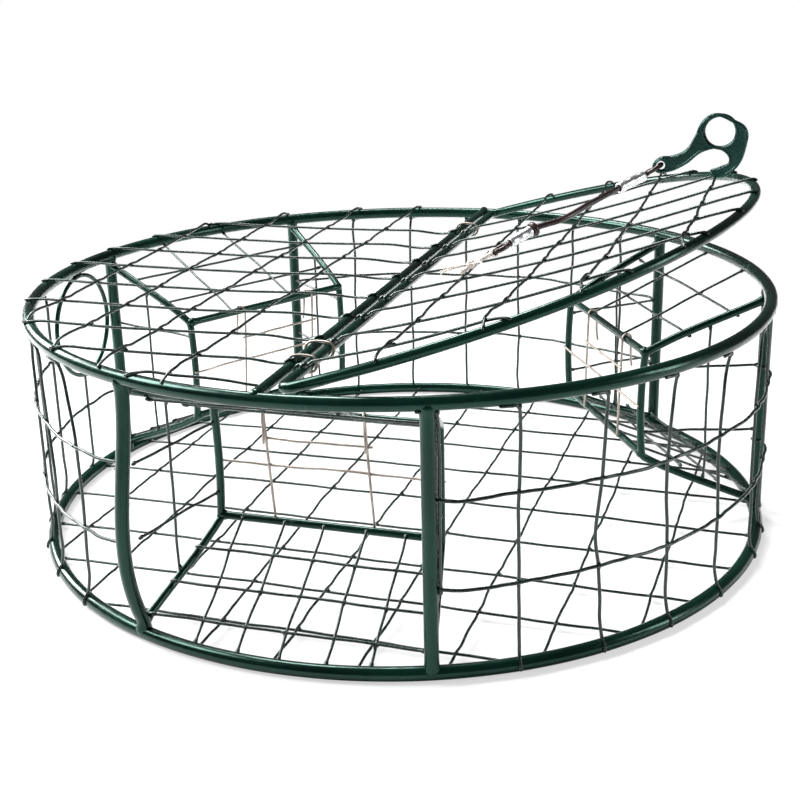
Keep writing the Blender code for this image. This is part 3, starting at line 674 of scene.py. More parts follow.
def finishes():
    """Each finish's group, what it gives that group, and the shader's own plain values."""
    c = colours()
    green = {"Deep colour": c.coating_deep}
    return {
        "Frame coating": (
            "Dipped coating",
            {"Colour": c.coating, **green, "Lump size": 70.0, "Lump depth": 0.4, "Gloss": 0.22},
            {"Specular IOR Level": 0.34, "Specular Tint": (0.5, 1.0, 0.83, 1)},
        ),
        "Net coating": (
            "Dipped coating",
            {"Colour": c.net, **green, "Lump size": 120.0, "Lump depth": 0.25, "Gloss": 0.27},
            {"Specular IOR Level": 0.55, "Specular Tint": (0.85, 1.0, 0.93, 1)},
        ),
        "Hook plastic": (
            "Dipped coating",
            {"Colour": c.hook, **green, "Lump size": 40.0, "Lump depth": 0.12, "Gloss": 0.16},
            {"Specular IOR Level": 0.5, "Specular Tint": (0.5, 1.0, 0.88, 1)},
        ),
        "Cord rubber": (
            "Dipped coating",
            {
                "Colour": c.rubber,
                "Deep colour": (0.008, 0.004, 0.005),
                "Scuff colour": (0.10, 0.05, 0.045),
                "Lump size": 220.0,
                "Lump depth": 0.25,
                "Gloss": 0.3,
            },
            {"Specular IOR Level": 0.5},
        ),
        "Gate wire metal": (
            "Drawn metal",
            {"Colour": c.gate, "Dull colour": (0.17, 0.14, 0.12), "Gloss": 0.34},
            {"Metallic": 0.85},
        ),
        "Sleeve aluminium": (
            "Drawn metal",
            {"Colour": c.sleeve, "Dull colour": (0.6, 0.6, 0.62), "Gloss": 0.3},
            {"Metallic": 1.0},
        ),
        "Tie cotton": (
            "Spun fibre",
            # The shade colour here is painted shade for the grooves between the cotton's strands
            {"Colour": c.cotton, "Groove shade colour": (0.55, 0.45, 0.38), "Strands": 420.0},
            {"Sheen Weight": 0.3},
        ),
    }


def finish(name):
    """A material that places its finish's group, built once, and sets the shader's own plain values."""
    if name in bpy.data.materials:
        return bpy.data.materials[name]
    group_name, values, plain = finishes()[name]
    group = bpy.data.node_groups.get(group_name) or GROUPS[group_name](group_name)
    material = bpy.data.materials.new(name)
    material.use_nodes = True
    tree = material.node_tree
    shader = tree.nodes["Principled BSDF"]
    for key, value in plain.items():
        shader.inputs[key].default_value = value
    made = node(tree, "ShaderNodeGroup", node_tree=group)
    for key, value in values.items():
        made.inputs[key].default_value = (*value, 1) if hasattr(value, "__len__") else value
    place = node(tree, "ShaderNodeTexCoord")
    tree.links.new(place.outputs["Object"], made.inputs["Vector"])
    for label, target in (("Colour", "Base Color"), ("Roughness", "Roughness"), ("Normal", "Normal")):
        tree.links.new(made.outputs[label], shader.inputs[target])
    return material


# Rings, posts and crossbar


def uneven(count, radius, amount, seed):
    """Radii with the slow changes of a dipped coat."""
    rng = random.Random(seed)
    turns = np.arange(count) / count * 2 * math.pi
    change = np.zeros(count)
    for waves, share in ((7, 0.5), (17, 0.5), (31, 0.35)):
        change += share * np.sin(turns * waves + rng.uniform(0, PHASES))
    return radius + amount * change


def ring_bar(name, z):
    bars = Bars()
    count = 320
    path = [polar(RING_R, 360 * k / count, z) for k in range(count)]
    bars.bar(path, RING_D / 2, 20, closed=True, radii=uneven(count, RING_D / 2 - BAR_INSET, 0.1, name))
    bars.frame_part(name)


def post_bow(t):
    """How far the bowed post stands out of the rings' line at a share of its height."""
    fall = BOW_RISE * (1 - BOW_PEAK) / BOW_PEAK
    most = BOW_PEAK**BOW_RISE * (1 - BOW_PEAK) ** fall
    return POST_BOW * t**BOW_RISE * (1 - t) ** fall / most


def post_path(name, angle):
    """A post's line between the rings; the front left one is bowed outwards."""
    low = Z_BASE + RING_D / 2 - POST_SINK
    high = Z_TOP - RING_D / 2 + POST_SINK
    if name != "post_front_left":
        return [polar(RING_R, angle, z) for z in steps_between(low, high, 4)]
    stub = GAP + POST_STUB + POST_SINK
    run = high - low - 2 * stub
    bowed = [polar(RING_R + post_bow(t), angle, low + stub + t * run) for t in steps_between(0, 1, 16)]
    return [polar(RING_R, angle, low), *bowed, polar(RING_R, angle, high)]


def post_bar(name, angle):
    bars = Bars()
    path = dense(post_path(name, angle), 3)
    bars.bar(path, POST_D / 2, 20, radii=flared(path, POST_D / 2 - BAR_INSET, 1.3, 2.6))
    bars.frame_part(name)


def crossbar_bar():
    bars = Bars()
    reach = RING_R - 1.5
    path = dense([(CROSSBAR_X, y, BAR_Z) for y in steps_between(-reach, reach, 20)], 8)
    bars.bar(path, BAR_D / 2, 16, radii=flared(path, BAR_D / 2, 0.8, 6))
    bars.frame_part("crossbar")


# Top, base and side nets


def top_height(x, y):
    reach = half_chord(RING_R, min(abs(y), RING_R - 1)) - 8
    t = min(max((-x - 8) / reach, 0), 1)
    start = BAR_Z - Z_TOP + 1
    rim = RING_D / 2 + GAP + WIRE_D / 2
    level = start + (rim - start) * min(1, t / 0.15)
    return Z_TOP + level - TOP_SAG * (4 * t * (1 - t)) ** 1.5 * math.sqrt(1 - (y / RING_R) ** 2)


def lap_over(last, inner, ring_r, z, reach, start, turn, slide, steps):
    """The end of a wire that lies over a round bar, curls down its outer face and slides along it."""
    out = Vector((last[0], last[1], 0)).normalized()
    way = Vector((last[0] - inner[0], last[1] - inner[1], 0)).normalized()
    slip = (way - out * way.dot(out)) * slide
    return wrap(out * ring_r + UP * z, UP, out, reach, start, turn, drift=slip, steps=steps)


def over_ring(last, inner, turn=34.0):
    return lap_over(last, inner, RING_R, Z_TOP, RING_D / 2 + WIRE_D / 2 - 0.4, 8, turn, 5, 6)


def over_rim(last, inner):
    return lap_over(last, inner, LID_R, 0, BAR_D / 2 + WIRE_D / 2 - 0.3, 10, 48, 4, 4)


def level_wire(places, height, lap_end):
    """A wire over places in plan, at the net's height there, with both ends lapped over the rim."""
    path = [Vector((x, y, height(x, y) + LAP)) for x, y in places[1:-1]]
    return lap_end(places[0], places[-1])[::-1] + path + lap_end(places[-1], places[0])


def leaning(radius, front, back, shares):
    """Places along a wire whose two ends lie on the ring, at their own shares of its radius in x."""
    ends = []
    for share, side in ((front, -1), (back, 1)):
        x = RING_R * share
        ends.append((x, side * half_chord(radius, abs(x))))
    (x1, y1), (x2, y2) = ends
    return [(x1 + (x2 - x1) * t, y1 + (y2 - y1) * t) for t in shares]


def top_net_piece():
    bars = Bars()
    near = CROSSBAR_X - BAR_D / 2 - GAP
    slope = math.tan(rad(TOP_TURN))
    along = []
    for share in (0.6048, 0.3965, 0.2016, 0.0072, -0.2003, -0.4005, -0.5981, -0.785):
        y = RING_R * share
        far = -half_chord(RING_R, abs(y - slope * half_chord(RING_R, abs(y))))
        xs = [near + (far - near) * t for t in (0.02, 0.15, 0.32, 0.5, 0.68, 0.85, 0.97)]
        path = [Vector((x, y + slope * x, top_height(x, y + slope * x))) for x in xs]
        path += over_ring((far, y + slope * far), (near, y))
        centre = Vector((CROSSBAR_X, y, BAR_Z))
        hold = BAR_D / 2 + WIRE_D / 2 - 0.3
        curl = wrap(centre, Vector((1, 0, 0)), UP, hold, 55, 150, drift=(0, -3, 0), steps=5)
        along.append(curl + path)
        bars.lump(centre + Vector((-4.6, 0, 1.5)), (0, 1, 0), UP, 5.5, 3.2, 4.2)
    short_y = RING_R * -0.948
    xs = [RING_R * t for t in (-0.022, -0.134, -0.219, -0.299)]
    short = [Vector((x, short_y, top_height(x, short_y) + 0.6)) for x in xs]
    along.append(short + over_ring((-half_chord(RING_R, abs(short_y)), short_y), (0, short_y), 40))
    across = []
    for front, back in ((-0.7957, -0.8331), (-0.6061, -0.6409), (-0.4235, -0.4246), (-0.2323, -0.2296)):
        places = leaning(RING_R, front, back, (0, 0.015, 0.1, 0.25, 0.415, 0.585, 0.75, 0.9, 0.985, 1))
        across.append(level_wire(places, top_height, over_ring))
    weave(bars, along, across, "top")
    bars.net_part("top_mesh")


def base_net_piece():
    bars = Bars()

    def rise(x, y):
        return BASE_RISE * max(0, 1 - (x * x + y * y) / RING_R**2)

    inner = RING_R - RING_D / 2 + 1.2
    slope = math.tan(rad(BASE_TURN))
    along = []
    for share in (0.8024, 0.6275, 0.4406, 0.235, 0.0027, -0.215, -0.4246, -0.624, -0.8278):
        y = RING_R * share
        line = []
        for t in (-1, -0.75, -0.45, -0.15, 0.15, 0.45, 0.75, 1):
            x = t * half_chord(inner, abs(y + t * slope * half_chord(inner, abs(y))))
            line.append((x, y + slope * x, Z_BASE - 2 + rise(x, y)))
        along.append(line)
    across = []
    ends = ((-0.7957, -0.7984), (-0.5955, -0.6088), (-0.3952, -0.4326), (-0.2029, -0.2377))
    ends += ((-0.0107, -0.0134), (0.1883, 0.1923), (0.3845, 0.3925), (0.5794, 0.5928), (0.7744, 0.8037))
    for front, back in ends:
        places = leaning(inner, front, back, (0, 0.125, 0.275, 0.425, 0.575, 0.725, 0.875, 1))
        across.append([(x, y, Z_BASE + 0.2 + rise(x, y)) for x, y in places])
    for path in along + across:
        for end, nearer in ((path[0], path[1]), (path[-1], path[-2])):
            way = Vector(end) - Vector(nearer)
            inward = Vector(end) - way.normalized() * 2
            bars.lump(inward, way, UP, 4.0, 2.0, 2.0)
    weave(bars, along, across, "base")
    bars.net_part("base_mesh")


def panel_angle(knots, level):
    return float(np.interp(level, *zip(*knots)))


def upright_route(knots, bottom, top):
    """An upright wire: it laps down the base ring's outer face and tucks in under the top ring."""
    hold = RING_D / 2 + WIRE_D / 2 - 1.4
    angle = panel_angle(knots, 0)
    out = polar(1, angle)
    foot = wrap(polar(RING_R, angle, Z_BASE), out, UP, hold, -4, 56, steps=5)
    low = Z_BASE + RING_D / 2 + 6
    high = (top - 1) if top else Z_TOP - RING_D / 2 - 7
    if bottom:
        foot = []
        low = bottom - 6
    path = foot
    path += [
        polar(RING_R + 0.2, panel_angle(knots, (z - Z_BASE) / HEIGHT), z)
        for z in steps_between(low + 6, high, 7)
    ]
    if top:
        return path
    angle = panel_angle(knots, 0.97)
    for out, back, rise in ((1.5, 0.15, -1.2), (3.4, 1.2, 0.3), (4.2, 2.6, 0.9)):
        path.append(polar(RING_R + out, angle - back, Z_TOP - RING_D / 2 + rise))
    return path


def side_net_piece(node_name, start, end, uprights, upper_start=None):
    bars = Bars()
    along = [upright_route(*upright) for upright in uprights]
    for path, (knots, _, top) in zip(along, uprights):
        out = polar(1, panel_angle(knots, 0))
        bars.lump(path[0], UP, out, 3.2, 2.3, 1.9)
        if top is None:
            bars.lump(path[-3], UP, out, 3.0, 2.6, 2.4)
    across = []
    for level, first in ((LOWER_LEVEL, None), (UPPER_LEVEL, upper_start)):
        a = start if first is None else first
        z = Z_BASE + HEIGHT * level
        grip = math.degrees((POST_D / 2 + WIRE_D / 2) / RING_R)
        angles = steps_between(a + grip + 0.3, end - grip - 0.3, 10)
        path = [polar(RING_R + LAP, angle, z) for angle in angles]
        tail = round_post(end, z, -1)
        if first is None:
            head = round_post(a, z, 1)[::-1]
        else:
            head = [polar(RING_R + 1.0, a - 0.25, z)]
            bars.lump(head[0], polar(1, a + 90), UP, 4.0, 2.4, 2.4)
        across.append(head + path + tail)
    weave(bars, along, across, node_name, up=polar(1, (start + end) / 2), thicker=1.16)
    bars.net_part(node_name)


def round_post(angle, z, side):
    """The end of a level wire that turns in behind a post, from the side with the smaller angle if -1."""
    out = polar(1, angle)
    way = polar(1, angle + 90) * side
    centre = polar(RING_R, angle, z)
    if abs(angle - POST_ANGLES["post_front_left"]) % 360 < 1:
        centre = polar(RING_R + bow_at(z), angle, z)
    hold = POST_D / 2 + WIRE_D / 2 - 0.5
    return wrap(centre, way, -out, hold, -8, 75, drift=(0, 0, 1.5), steps=6)


def bow_at(z):
    """How far the bowed post stands out at a height."""
    stub = RING_D / 2 + GAP + POST_STUB
    low = Z_BASE + stub
    return post_bow(min(max((z - low) / (Z_TOP - stub - low), 0), 1))


def plain(*angles):
    return [([(0, angle), (1, angle)], None, None) for angle in angles]


def side_nets():
    posts = POST_ANGLES
    beside = posts["post_front_right"] + math.degrees((POST_D / 2 + GAP + WIRE_D / 2) / RING_R)
    right = [([(0, beside), (1, beside)], Z_BASE + HEIGHT * LOWER_LEVEL - WIRE_D, None)]
    right += plain(-57.8)
    right += [([(0, -45.8), (0.25, -46.3), (0.46, -47), (0.63, -46.3), (0.98, -45.7)], None, None)]
    right += [([(0, -34.1), (0.25, -34.7), (0.63, -35.3), (0.98, -34.2)], None, None)]
    right += [([(0, -22.2), (0.33, -23), (0.63, -23.7), (0.79, -23), (0.98, -21.8)], None, None)]
    right += [([(0, -8), (0.42, -9.5), (0.79, -9.5), (0.98, -8)], None, None)]
    right += plain(1.5)
    side_net_piece("side_mesh_right", posts["post_front_right"], posts["post_right_front"], right)
    back = plain(61.1, 72, 83.4, 94.2, 105.3, 116.7)
    side_net_piece("side_mesh_back", posts["post_right_back"], posts["post_back_right"], back)
    under_ring = ESCAPE_Z - ESCAPE_R - ESCAPE_ROD / 2 + 1
    left = [([(0, ESCAPE_ANGLE + 1), (1, ESCAPE_ANGLE + 1)], None, under_ring)]
    left += plain(194.5)
    left += [([(0, 204), (0.46, 203.6), (0.98, 204.4)], None, None)]
    left += [([(0, 213.6), (0.63, 214.4), (0.98, 213)], None, None)]
    left += [([(0, 224.2), (0.46, 225.6), (0.75, 224), (0.98, 222.9)], None, None)]
    left += [([(0, 235.3), (0.42, 236.5), (0.75, 236), (0.94, 233.6), (1, 233.3)], None, None)]
    above = Z_BASE + HEIGHT * UPPER_LEVEL - ESCAPE_Z
    clear = math.degrees(math.sqrt((ESCAPE_R + 2.5) ** 2 - above**2) / RING_R)
    last = 360 + posts["post_front_left"]
    side_net_piece("side_mesh_left", posts["post_left_back"], last, left, upper_start=ESCAPE_ANGLE + clear)


# Entrances


def entrance_frame(angle):
    """Local x points outwards, y along the mouth, z up."""
    return Matrix.Rotation(rad(angle), 4, "Z")


def rod_route(side):
    """A tunnel rod from its post at the base, up beside the mouth and back to the post at the top."""
    path = []
    for end_z, corner_z in ((ROD_LOW_Z, SILL_Z), (ROD_HIGH_Z, HEAD_Z)):
        end = Vector((POST_X, POST_Y * side, end_z))
        corner = Vector((MOUTH_R, MOUTH_HALF * side, corner_z))
        run = corner - end
        path += [end + run * ((POST_D / 2 - 1.5) / math.hypot(run.x, run.y)), corner]
    return rounded([path[0], path[1], path[3], path[2]], ROD_BEND)


def rod_piece(label, word, side, place):
    bars = Bars(place)
    path = dense(rod_route(side), 4)
    bars.bar(path, ROD_D / 2, 16, radii=flared(path, ROD_D / 2 - ROD_INSET, 1.4, 3.0))
    for z in (SILL_BAR_Z, HEAD_Z):
        centre = Vector((MOUTH_R, side * (MOUTH_HALF - 2.5), z))
        bars.lump(centre, (0, 1, 0), UP, 6.5, 4.9, 5.4, 14, 8)
    bars.frame_part("tunnel_rod_%s_%s" % (label, word))


def mouth_bar_piece(label, word, z, place):
    bars = Bars(place)
    reach = MOUTH_HALF - ROD_D / 2 + 1
    path = dense([(MOUTH_R, y, z) for y in steps_between(-reach, reach, 6)], 5)
    bars.bar(path, ROD_D / 2, 16, radii=flared(path, ROD_D / 2 - ROD_INSET, 0.9, 2.5))
    bars.frame_part("%s_%s" % (word, label), "_rod")


def slope_z(x, ends):
    """The height of a tunnel's sloping net, between its heights at the mouth and at the ring."""
    share = (x - SLOPE_NEAR_X) / (SLOPE_FAR_X - SLOPE_NEAR_X)
    return ends[0] * (1 - share) + ends[1] * share


def rail_share(x):
    """How far along the rods from the mouth to the posts a place lies."""
    return (x - MOUTH_R) / (POST_X - MOUTH_R)


def rail_y(x):
    return MOUTH_HALF + (POST_Y - MOUTH_HALF) * rail_share(x)


def slope_net_piece(node_name, ends, sides, lean, rows, lift, place):
    bars = Bars(place)
    along = []
    for share in sides:
        y = MOUTH_HALF * share
        far = half_chord(SLOPE_FAR_X, abs(y + lean) + 1)
        first = Vector((SLOPE_NEAR_X, y, slope_z(SLOPE_NEAR_X, ends)))
        path = steps_between(first, Vector((far, y + lean, slope_z(SLOPE_FAR_X, ends))), 4)
        way = (path[-1] - path[0]).normalized()
        path[0] = path[0] - way * 1.6
        path[-1] = path[-1] + way * 2.2
        along.append(path)
        for spot, toward in ((path[0], way), (path[-1], -way)):
            bars.lump(spot + toward * 0.6, toward, UP, 4.0, 2.1, 2.0)
    outermost = half_chord(SLOPE_FAR_X, abs(MOUTH_HALF * sides[0]))
    stretch = (SLOPE_FAR_X - SLOPE_NEAR_X) / (outermost - SLOPE_NEAR_X)
    across = []
    for row in rows:
        x = MOUTH_R + (RING_R - MOUTH_R) * row
        far = rail_y(x) - ROD_D / 2 + 0.5
        if row > 0.75:
            far -= 2
        z = slope_z(SLOPE_NEAR_X + (x - SLOPE_NEAR_X) * (1 + (stretch - 1) / 2), ends) + lift
        across.append([(x, far * t, z) for t in (-1, -0.5, 0, 0.5, 1)])
        for side in (-1, 1):
            bars.lump((x, side * (far - 1), z), (0, 1, 0), UP, 4.5, 2.2, 2.2)
    weave(bars, along, across, node_name, kinked=False)
    bars.net_part(node_name)


def tunnel_side_piece(label, word, side, place):
    bars = Bars(place)
    middle = (MOUTH_R + POST_X) / 2 + 4
    along = []
    for share in SIDE_LEVELS:
        z = Z_BASE + HEIGHT * share
        start = MOUTH_R + ROD_D / 2 - 1
        end = POST_X - POST_D / 2 + 1.5
        along.append([(x, side * rail_y(x), z) for x in steps_between(start, end, 4)])
        for x, way in ((start + 1, 1), (end - 2, -1)):
            bars.lump((x, side * rail_y(x), z), (way, 0, 0), UP, 4.0, 2.0, 2.1)
    off = side * (rail_y(middle) + 1.6)
    low = SILL_Z + (ROD_LOW_Z - SILL_Z) * rail_share(middle) + ROD_D / 2 - 1
    high = HEAD_Z + (ROD_HIGH_Z - HEAD_Z) * rail_share(middle) - ROD_D / 2 + 1
    across = [[(middle, off, z) for z in steps_between(low, high, 4)]]
    for z in (low + 1, high - 1):
        bars.lump((middle, off - side * 0.8, z), UP, (1, 0, 0), 4.0, 2.1, 2.1)
    weave(bars, along, across, "tunnel side", up=(0, 1, 0), kinked=False)
    bars.net_part("tunnel_side_%s_%s" % (label, word))


def gate_piece(label, place):
    """Two wire legs hung on the head bar, with two level wires tied across them."""
    bars = Bars(place @ Matrix.Translation((MOUTH_R, 0, HEAD_Z)))
    radius = sizes().gate_wire / MM / 2
    loop_r = ROD_D / 2 + GAP + radius
    drop = HEAD_Z - SILL_Z
    legs = [MOUTH_HALF * share for share in GATE_LEGS]
    for y in legs:
        path = [(loop_r + 2, y + 4, -30), (loop_r + 0.4, y + 3.6, -18), (loop_r, y + 3, -8)]
        for step in range(13):
            turn = rad(-10 + 16.7 * step)
            path.append((loop_r * math.cos(turn), y + 3 - step * 0.27, loop_r * math.sin(turn)))
        path += [(-loop_r, y, -10), (-loop_r - 0.2, y + 2, -50), (-loop_r, y + 6, 4 - drop)]
        bars.bar(dense([Vector(p) for p in path], 1.6), radius, 10)
    lap = 1.4
    for start, end, z in (
        (legs[0] - 3, legs[1] + 5, drop * -0.268),
        (-MOUTH_HALF * 1.02, MOUTH_HALF * 1.02, drop * -0.501),
    ):
        path = [(-loop_r - lap, y, z) for y in steps_between(start, end, 8)]
        bars.bar(stray(dense(path, 5), label + str(z), 0.7, up=(1, 0, 0)), radius, 10)
        for y in legs:
            spot = (-loop_r - lap / 2, y - (z + 10) * 0.06, z)
            bars.lump(spot, (0, 1, 0), (1, 0, 0), 2.6, 1.7, 1.9)
    name = "gate_" + label
    bars.piece(name + "_wires", finish("Gate wire metal"), name + "_body", [name])


def entrances():
    for label, angle in ENTRANCES.items():
        place = entrance_frame(angle)
        for word, side in (("a", 1), ("b", -1)):
            rod_piece(label, word, side, place)
            tunnel_side_piece(label, word, side, place)
        mouth_bar_piece(label, "sill_bar", SILL_BAR_Z, place)
        mouth_bar_piece(label, "head_bar", HEAD_Z, place)
        slope_net_piece("ramp_mesh_" + label, RAMP_ENDS_Z, RAMP_WIRES, RAMP_LEAN, RAMP_ROWS, LAP, place)
        slope_net_piece("roof_mesh_" + label, ROOF_ENDS_Z, ROOF_WIRES, 0, ROOF_ROWS, -LAP, place)


# Lid, hog rings and escape ring


def lid_place():
    return Matrix.Translation((HINGE_X, 0, BAR_Z)) @ Matrix.Rotation(-rad(LID_REST), 4, "Y")


def lid_rim_route():
    inset = math.degrees(LID_CORNER / LID_R)
    path = [polar(LID_R, angle) for angle in steps_between(-90 + inset, 90 - inset, 120)]
    for side in (1, -1):
        corner = Vector((LID_CORNER, side * (LID_R - LID_CORNER), 0))
        turns = (110, 130, 150, 165, 180) if side > 0 else (180, 195, 210, 230, 250)
        path += [corner + polar(LID_CORNER, turn) for turn in turns]
        if side > 0:
            reach = LID_R - LID_CORNER
            path += [Vector((0, v, 0)) for v in steps_between(reach - 12, -reach + 12, 40)]
    return path


def lid_frame_piece():
    bars = Bars(lid_place())
    bars.bar(lid_rim_route(), BAR_D / 2, 16, closed=True)
    bars.frame_part("lid_frame", body="lid")


def lid_height(u, v):
    reach = half_chord(LID_R, min(abs(v), LID_R - 1))
    t = min(max(u / reach, 0), 1)
    return MESH_RISE - LID_SAG * (4 * t * (1 - t)) ** 1.5 * math.sqrt(1 - (v / LID_R) ** 2)


def lid_net_piece():
    bars = Bars(lid_place())
    hold = BAR_D / 2 + WIRE_D / 2 - 0.2
    along = []
    for share in LID_LONG_WIRES:
        v = LID_R * share
        far = half_chord(LID_R, abs(v))
        path = wrap(Vector((0, v, 0)), Vector((1, 0, 0)), UP, hold, 150, 40, drift=(0, 2, 0), steps=7)
        path.append(Vector((12, v, MESH_RISE - 0.5)))
        for t in (0.12, 0.2, 0.35, 0.5, 0.65, 0.82, 0.96):
            u = far * t
            if u > 20:
                path.append(Vector((u, v, lid_height(u, v))))
        path += over_rim((far, v), (0, v))
        along.append(path)
        bars.lump((2.5, v + 1, 4.2), (0, 1, 0), UP, 5.0, 4.0, 3.4)
    across = []
    for share in LID_CROSS_WIRES:
        u = LID_R * share
        far = half_chord(LID_R, u)
        places = [(u, far * t) for t in (-1, -0.97, -0.8, -0.5, -0.17, 0.17, 0.5, 0.8, 0.97, 1)]
        across.append(level_wire(places, lid_height, over_rim))
    weave(bars, along, across, "lid")
    bars.net_part("lid_mesh", "lid")


def hog_ring_piece(name, y):
    bars = Bars()
    reach = BAR_D / 2 + GAP + WIRE_D / 2
    path = []
    for centre, first in ((HINGE_X, -90), (CROSSBAR_X, 90)):
        for step in range(11):
            turn = rad(first + 18 * step)
            lean = 2.5 * math.sin(turn)
            path.append((centre + reach * math.cos(turn), y + lean, BAR_Z + reach * math.sin(turn)))
    bars.bar(dense(path, 1.5, closed=True), WIRE_D / 2 - 0.25, 12, closed=True)
    bars.piece(name + "_wire", finish("Gate wire metal"), "frame", [name])


def escape_ring_piece():
    bars = Bars()
    out = polar(1, ESCAPE_ANGLE)
    across = Vector((-out.y, out.x, 0))
    centre = polar(RING_R, ESCAPE_ANGLE, ESCAPE_Z)
    bars.bar(circle(centre, across, UP, 96, ESCAPE_R, ESCAPE_R), ESCAPE_ROD / 2, 14, closed=True)
    bars.lump(centre - UP * (ESCAPE_R + 1.2), across, UP, 5, 2.4, 3.0)
    bars.lump(centre + UP * (ESCAPE_R + 0.8), across, UP, 9, 3.6, 3.4)
    bars.frame_part("escape_ring", "_rod")


# Closure


def hook_place():
    foot = lid_place() @ Vector((*HOOK_FOOT, lid_height(*HOOK_FOOT) + LAP + WIRE_D / 2 - 0.6))
    origin = Vector((foot.x - 4, foot.y, foot.z + 7))
    return Matrix.Translation(origin) @ Matrix.Rotation(math.pi / 2, 4, "X")


def front_loop():
    """The front loop's direction, its sideways direction and its centre, in the lid's frame."""
    away = (CORD_A - CORD_B).normalized()
    return away, UP.cross(away).normalized(), CORD_A + away * (FRONT_LOOP_HALF + 3)


def back_loop():
    """The back loop's direction, the hook's thickness direction and the loop's centre."""
    flip = lid_place().inverted()
    eye = flip @ (hook_place() @ Vector((*EYE, 0)))
    thick_way = flip.to_3x3() @ Vector((0, 1, 0))
    to_cord = CORD_END - eye
    to_cord = (to_cord - thick_way * to_cord.dot(thick_way)).normalized()
    return to_cord, thick_way, eye + to_cord * (BACK_LOOP_HALF - 0.7)


def cord_pieces():
    """The cord's run and its two loops, which carry the fittings."""
    place = lid_place()
    away, side, front_centre = front_loop()
    to_cord, thick_way, back_centre = back_loop()
    on = (CORD_END - CORD_C).normalized()
    route = [CORD_A + away * 3.2, CORD_B - away * 8.5, *CORD_MID]
    route += [CORD_C - on * 3, CORD_END + on * 2.5, back_centre + to_cord * (BACK_LOOP_HALF - 1)]
    path = dense(route, 3)
    bars = Bars(place)
    bars.bar(path, CORD_D / 2, 20)
    cord = bars.piece("closure_cord_run", finish("Cord rubber"), "lid", ["closure_cord"])
    loops = Bars(place)
    for loop in (
        circle(front_centre, away, side, 40, FRONT_LOOP_HALF, 5.6),
        circle(back_centre, to_cord, thick_way, 40, BACK_LOOP_HALF, 7.0),
    ):
        loops.bar(loop, LOOP_D / 2, 16, closed=True)
    ends = loops.piece("closure_cord_loops", finish("Cord rubber"), "lid")


def sleeve_piece(name, start, end):
    """A crimped sleeve: two pressed bands between plain lands."""
    bars = Bars(lid_place())
    axis = end - start
    length = axis.length
    axis.normalize()
    land, pressed = 5.5, 5.2
    edge = [(SLEEVE_BORE_R, 0), (land - 0.8, 0), (land - 0.25, 0.3), (land, 1.0)]
    profile = list(edge)
    for middle in (length * 0.3, length * 0.7):
        for radius, along in ((land, -4.2), (pressed, -2.6), (pressed, 2.6), (land, 4.2)):
            profile.append((radius, middle + along))
    profile += [(radius, length - along) for radius, along in reversed(edge)]
    bars.turned(profile, start, axis)
    return bars.piece(name + "_sleeve", finish("Sleeve aluminium"), "lid", [name])


def stop_piece():
    away = (CORD_A - CORD_B).normalized()
    bars = Bars(lid_place())
    start = CORD_B - away * 0.8
    edge = [(SLEEVE_BORE_R, 0), (6.3, 0), (7.1, 0.35), (7.5, 1.3)]
    profile = edge + [(radius, STOP_THICK - along) for radius, along in reversed(edge)]
    bars.turned(profile, start, -away)
    return bars.piece("cord_stop_disc", finish("Cord rubber"), "lid", ["cord_stop"])


HOOK_OUTLINE = (
    (-61, 4), (-54, 12), (-42, 14), (-29, 20), (-19, 36), (-12, 51), (1, 58), (19, 52),
    (32, 43), (33, 26), (22, 1), (4, -7), (-3, -2), (6, 3.5), (16, 10), (8, 21),
    (-8, 20), (-28, 5), (-46, -3), (-57, -3),
)


def hook_curve():
    """The hook's outline with its eye and finger hole, as a filled curve with rounded edges."""
    curve = bpy.data.curves.new("hook outline", "CURVE")
    curve.dimensions = "2D"
    curve.fill_mode = "BOTH"
    curve.extrude = (HOOK_THICK / 2 - HOOK_EDGE) * MM
    curve.bevel_depth = HOOK_EDGE * MM
    curve.bevel_resolution = 4
    curve.offset = -HOOK_EDGE * MM
    curve.resolution_u = 8
    outer = curve.splines.new("BEZIER")
    outer.bezier_points.add(len(HOOK_OUTLINE) - 1)
    for point, (x, y) in zip(outer.bezier_points, HOOK_OUTLINE):
        point.co = Vector((x, y, 0)) * MM
        point.handle_left_type = "AUTO"
        point.handle_right_type = "AUTO"
    outer.use_cyclic_u = True
    for (x, y), radius in ((FINGER, FINGER_R), (EYE, EYE_R)):
        count = 48
        hole = curve.splines.new("POLY")
        hole.points.add(count - 1)
        for k, point in enumerate(hole.points):
            turn = -2 * math.pi * k / count
            point.co = ((x + radius * math.cos(turn)) * MM, (y + radius * math.sin(turn)) * MM, 0, 1)
        hole.use_cyclic_u = True
    return curve


def hook_piece():
    guide = bpy.data.objects.new("hook guide", hook_curve())
    bpy.context.scene.collection.objects.link(guide)
    graph = bpy.context.evaluated_depsgraph_get()
    mesh = bpy.data.meshes.new_from_object(guide.evaluated_get(graph))
    bpy.data.objects.remove(guide)
    co = np.zeros(len(mesh.vertices) * 3)
    mesh.vertices.foreach_get("co", co)
    bars = Bars(hook_place())
    faces = [tuple(p.vertices) for p in mesh.polygons]
    bars.put(co.reshape(-1, 3) / MM, faces)
    for z in (HOOK_THICK / 2 - 0.4, -HOOK_THICK / 2 + 0.4):
        edge = dense([(x, y, z) for x, y in HOOK_OUTLINE], 1.5, closed=True)
        bars.bar(pulled_in(edge, 2.0), HOOK_BEAD, 8, closed=True)
        centre = Vector((*FINGER, z))
        ring = circle(centre, Vector((1, 0, 0)), Vector((0, 1, 0)), 60, FINGER_R + 1.9, FINGER_R + 1.9)
        bars.bar(ring, HOOK_BEAD, 8, closed=True)
    obj = bars.piece("closure_hook_body", finish("Hook plastic"), "lid", ["closure_hook"])
    crisp = obj.modifiers.new("Crisp faces", "WEIGHTED_NORMAL")
    crisp.keep_sharp = True
    return obj


